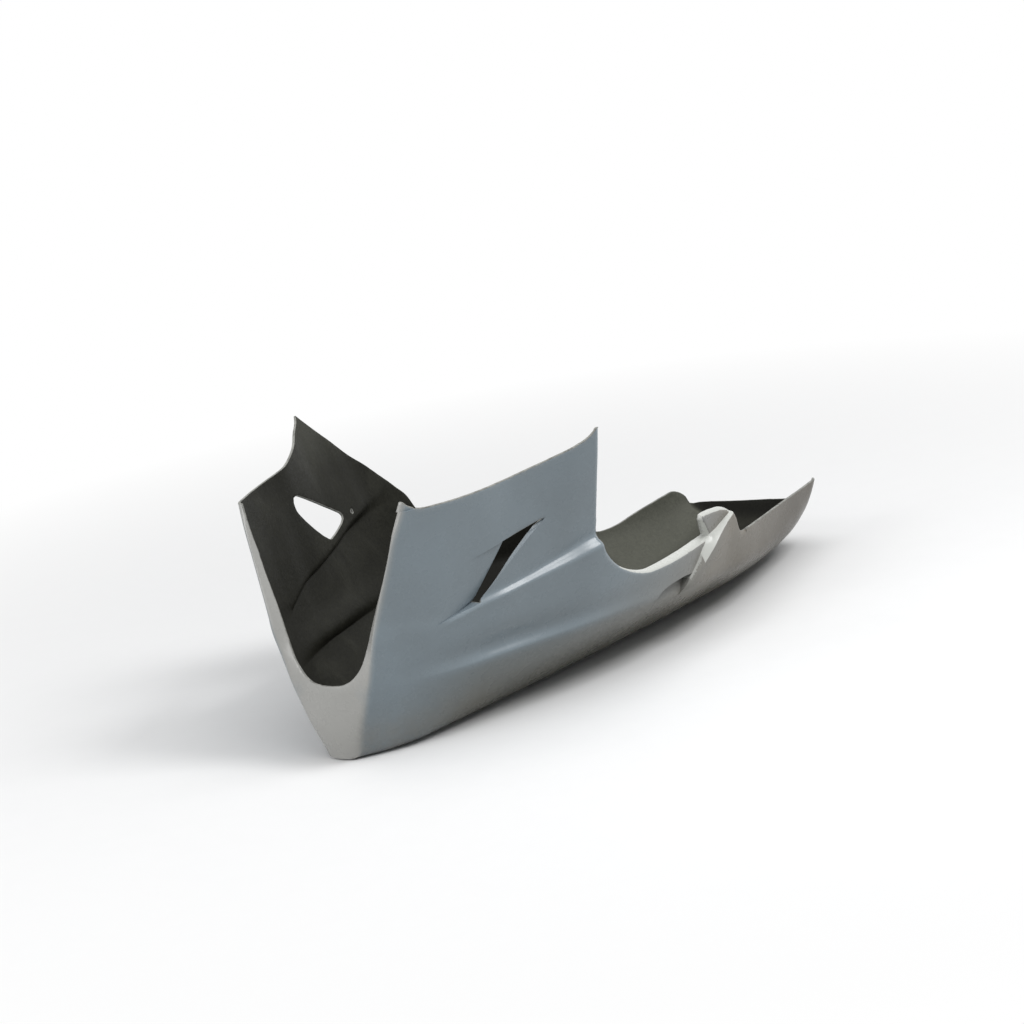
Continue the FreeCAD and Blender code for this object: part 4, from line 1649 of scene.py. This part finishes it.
    def build(self) -> bpy.types.Object:
        """Makes the moulding, in metres and in the row's frame: both halves joined, then given a wall.

        Returns:
            The moulding, with the fields that its finishes read.
        """
        skin = HullSkin(self.lines)
        left = self.half_sheet(skin, Side.LEFT)
        right = self.half_sheet(skin, Side.RIGHT)
        halves = np.vstack([left[0], right[0]]), np.vstack([left[1], right[1] + len(left[0])])
        used, fused = welded(*halves)
        forward = np.array([self.nose_x, 0, 0]) + used * (-1, 1, 1)
        every, faces, finish = self.shell.thicken(forward, fused)
        low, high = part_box("fairing_shell")
        every = np.clip(every, np.array(low) * 1000, np.array(high) * 1000)
        mesh = bpy.data.meshes.new("fairing_moulding")
        mesh.from_pydata((every / 1000).tolist(), [], faces.tolist())
        mesh.polygons.foreach_set("material_index", finish.astype(np.int32))
        back = np.array([self.nose_x, 0, 0]) + every * (-1, 1, 1)
        wear_and_light = WearAndPaintedLight(self.lines, self.trim, self.step, self.roll)
        # painted light on the outer faces of the rim and the wedge
        pale = wear_and_light.pale(back[faces].mean(1)) * (finish == Face.OUTSIDE)
        mesh.attributes.new("painted_rim_light", "FLOAT", "FACE").data.foreach_set("value", pale.astype(np.float32))
        for name, values in wear_and_light.by_name(back).items():
            attribute = mesh.attributes.new(name, "FLOAT", "POINT")
            attribute.data.foreach_set("value", values.astype(np.float32))
        mesh.shade_smooth()
        mesh.set_sharp_from_angle(angle=math.radians(self.sharp_from))
        mesh.validate()
        shell = bpy.data.objects.new("fairing_moulding", mesh)
        bpy.context.scene.collection.objects.link(shell)
        log.info("moulding: %d points, %d triangles", len(every), len(faces))
        return shell

    def dress(self, shell: bpy.types.Object) -> None:
        """Args:
            shell: the moulding.
        """
        for finish in (GelCoat(), RawLaminate(), TrimmedEdge()):
            shell.data.materials.append(finish.material())
        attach(shell, "root")
        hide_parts("fairing_shell")


@dataclass(frozen=True)
class Viewpoint:
    """The camera as fitted to the picture: angles in degrees, and where the pivot falls in the image."""

    azimuth: float = 41.8998
    elevation: float = 15.0560
    roll: float = -9.7315
    distance: float = 5.0
    pixels_per_mm: float = 0.892657
    pivot: Row = (0.07785, 0.0, 0.120)
    pivot_pixel: Row = (504.165, 563.999)
    width: int = 1024

    def build(self) -> None:
        """Makes the camera and sets it as the scene's."""
        p, e, r = (math.radians(a) for a in (self.azimuth, self.elevation, self.roll))
        back = Vector((math.cos(p) * math.cos(e), math.sin(p) * math.cos(e), math.sin(e)))
        right = Vector((0, 0, 1)).cross(back).normalized()
        up = back.cross(right)
        right, up = right * math.cos(r) + up * math.sin(r), up * math.cos(r) - right * math.sin(r)
        scale = self.pixels_per_mm * 1000
        across, down = ((pixel - self.width / 2) / scale for pixel in self.pivot_pixel)
        place = Vector(self.pivot) + back * self.distance - right * across + up * down
        data = bpy.data.cameras.new("fitted_camera")
        data.sensor_width = 36.0
        data.lens = scale * self.distance / self.width * data.sensor_width
        data.clip_end = 50.0
        camera = bpy.data.objects.new("fitted_camera", data)
        camera.matrix_world = Matrix.Translation(place) @ Matrix((right, up, back)).transposed().to_4x4()
        bpy.context.scene.collection.objects.link(camera)
        bpy.context.scene.camera = camera


@dataclass(frozen=True)
class Lamp:
    """One square lamp, turned towards the fairing."""

    name: str
    place: Row
    size: float
    power: float
    target: Row = (0.0, 0.0, 0.12)

    def build(self) -> None:
        """Makes the lamp."""
        data = bpy.data.lights.new(self.name, "AREA")
        data.size, data.energy = self.size, self.power
        lamp = bpy.data.objects.new(self.name, data)
        lamp.location = self.place
        lamp.rotation_mode = "QUATERNION"
        lamp.rotation_quaternion = (Vector(self.target) - Vector(self.place)).to_track_quat("-Z", "Y")
        bpy.context.scene.collection.objects.link(lamp)
        log.info("%s: %.0f W", self.name, self.power)


@dataclass(frozen=True)
class SoftStudio:
    """Level soft light from all round, with more of it from above, on a white background."""

    surround: float = 0.34
    sky: Row = (0.96, 0.98, 1.0, 1.0)
    lamps: tuple[Lamp, ...] = (Lamp("overhead_light", (0.0, 0.2, 2.3), 2.2, 26.0),
                               Lamp("left_light", (-0.5, 1.6, 2.1), 1.05, 40.0),
                               Lamp("front_light", (2.6, -0.7, 1.3), 1.6, 34.0))

    def build(self) -> None:
        """Makes the world, white where it is seen and softer where it gives light, and the lamps."""
        world = bpy.data.worlds.new("soft_studio")
        bpy.context.scene.world = world
        world.use_nodes = True
        tree = world.node_tree
        tree.nodes.clear()
        soft = add_node(tree, "ShaderNodeBackground", {"Color": self.sky, "Strength": self.surround})
        white = add_node(tree, "ShaderNodeBackground", {"Color": (1.0, 1.0, 1.0, 1.0), "Strength": 1.0})
        mixed = add_node(tree, "ShaderNodeMixShader", {"Fac": shown_directly(tree), 1: soft.outputs[0],
                                                       2: white.outputs[0]})
        add_node(tree, "ShaderNodeOutputWorld", {"Surface": mixed.outputs[0]})
        for lamp in self.lamps:
            lamp.build()


def corners() -> list[list[float]]:
    """The shown object's lowest and highest corner as plain lists."""
    return [[float(c) for c in corner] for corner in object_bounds()]


def main() -> None:
    """Builds the whole picture."""
    bpy.context.scene.view_settings.view_transform = "Standard"
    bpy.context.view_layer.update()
    fairing = FairingShell()
    fairing.dress(fairing.build())
    PaleFloor().build()
    SoftStudio().build()
    Viewpoint().build()


if __name__ == "__main__":
    main()
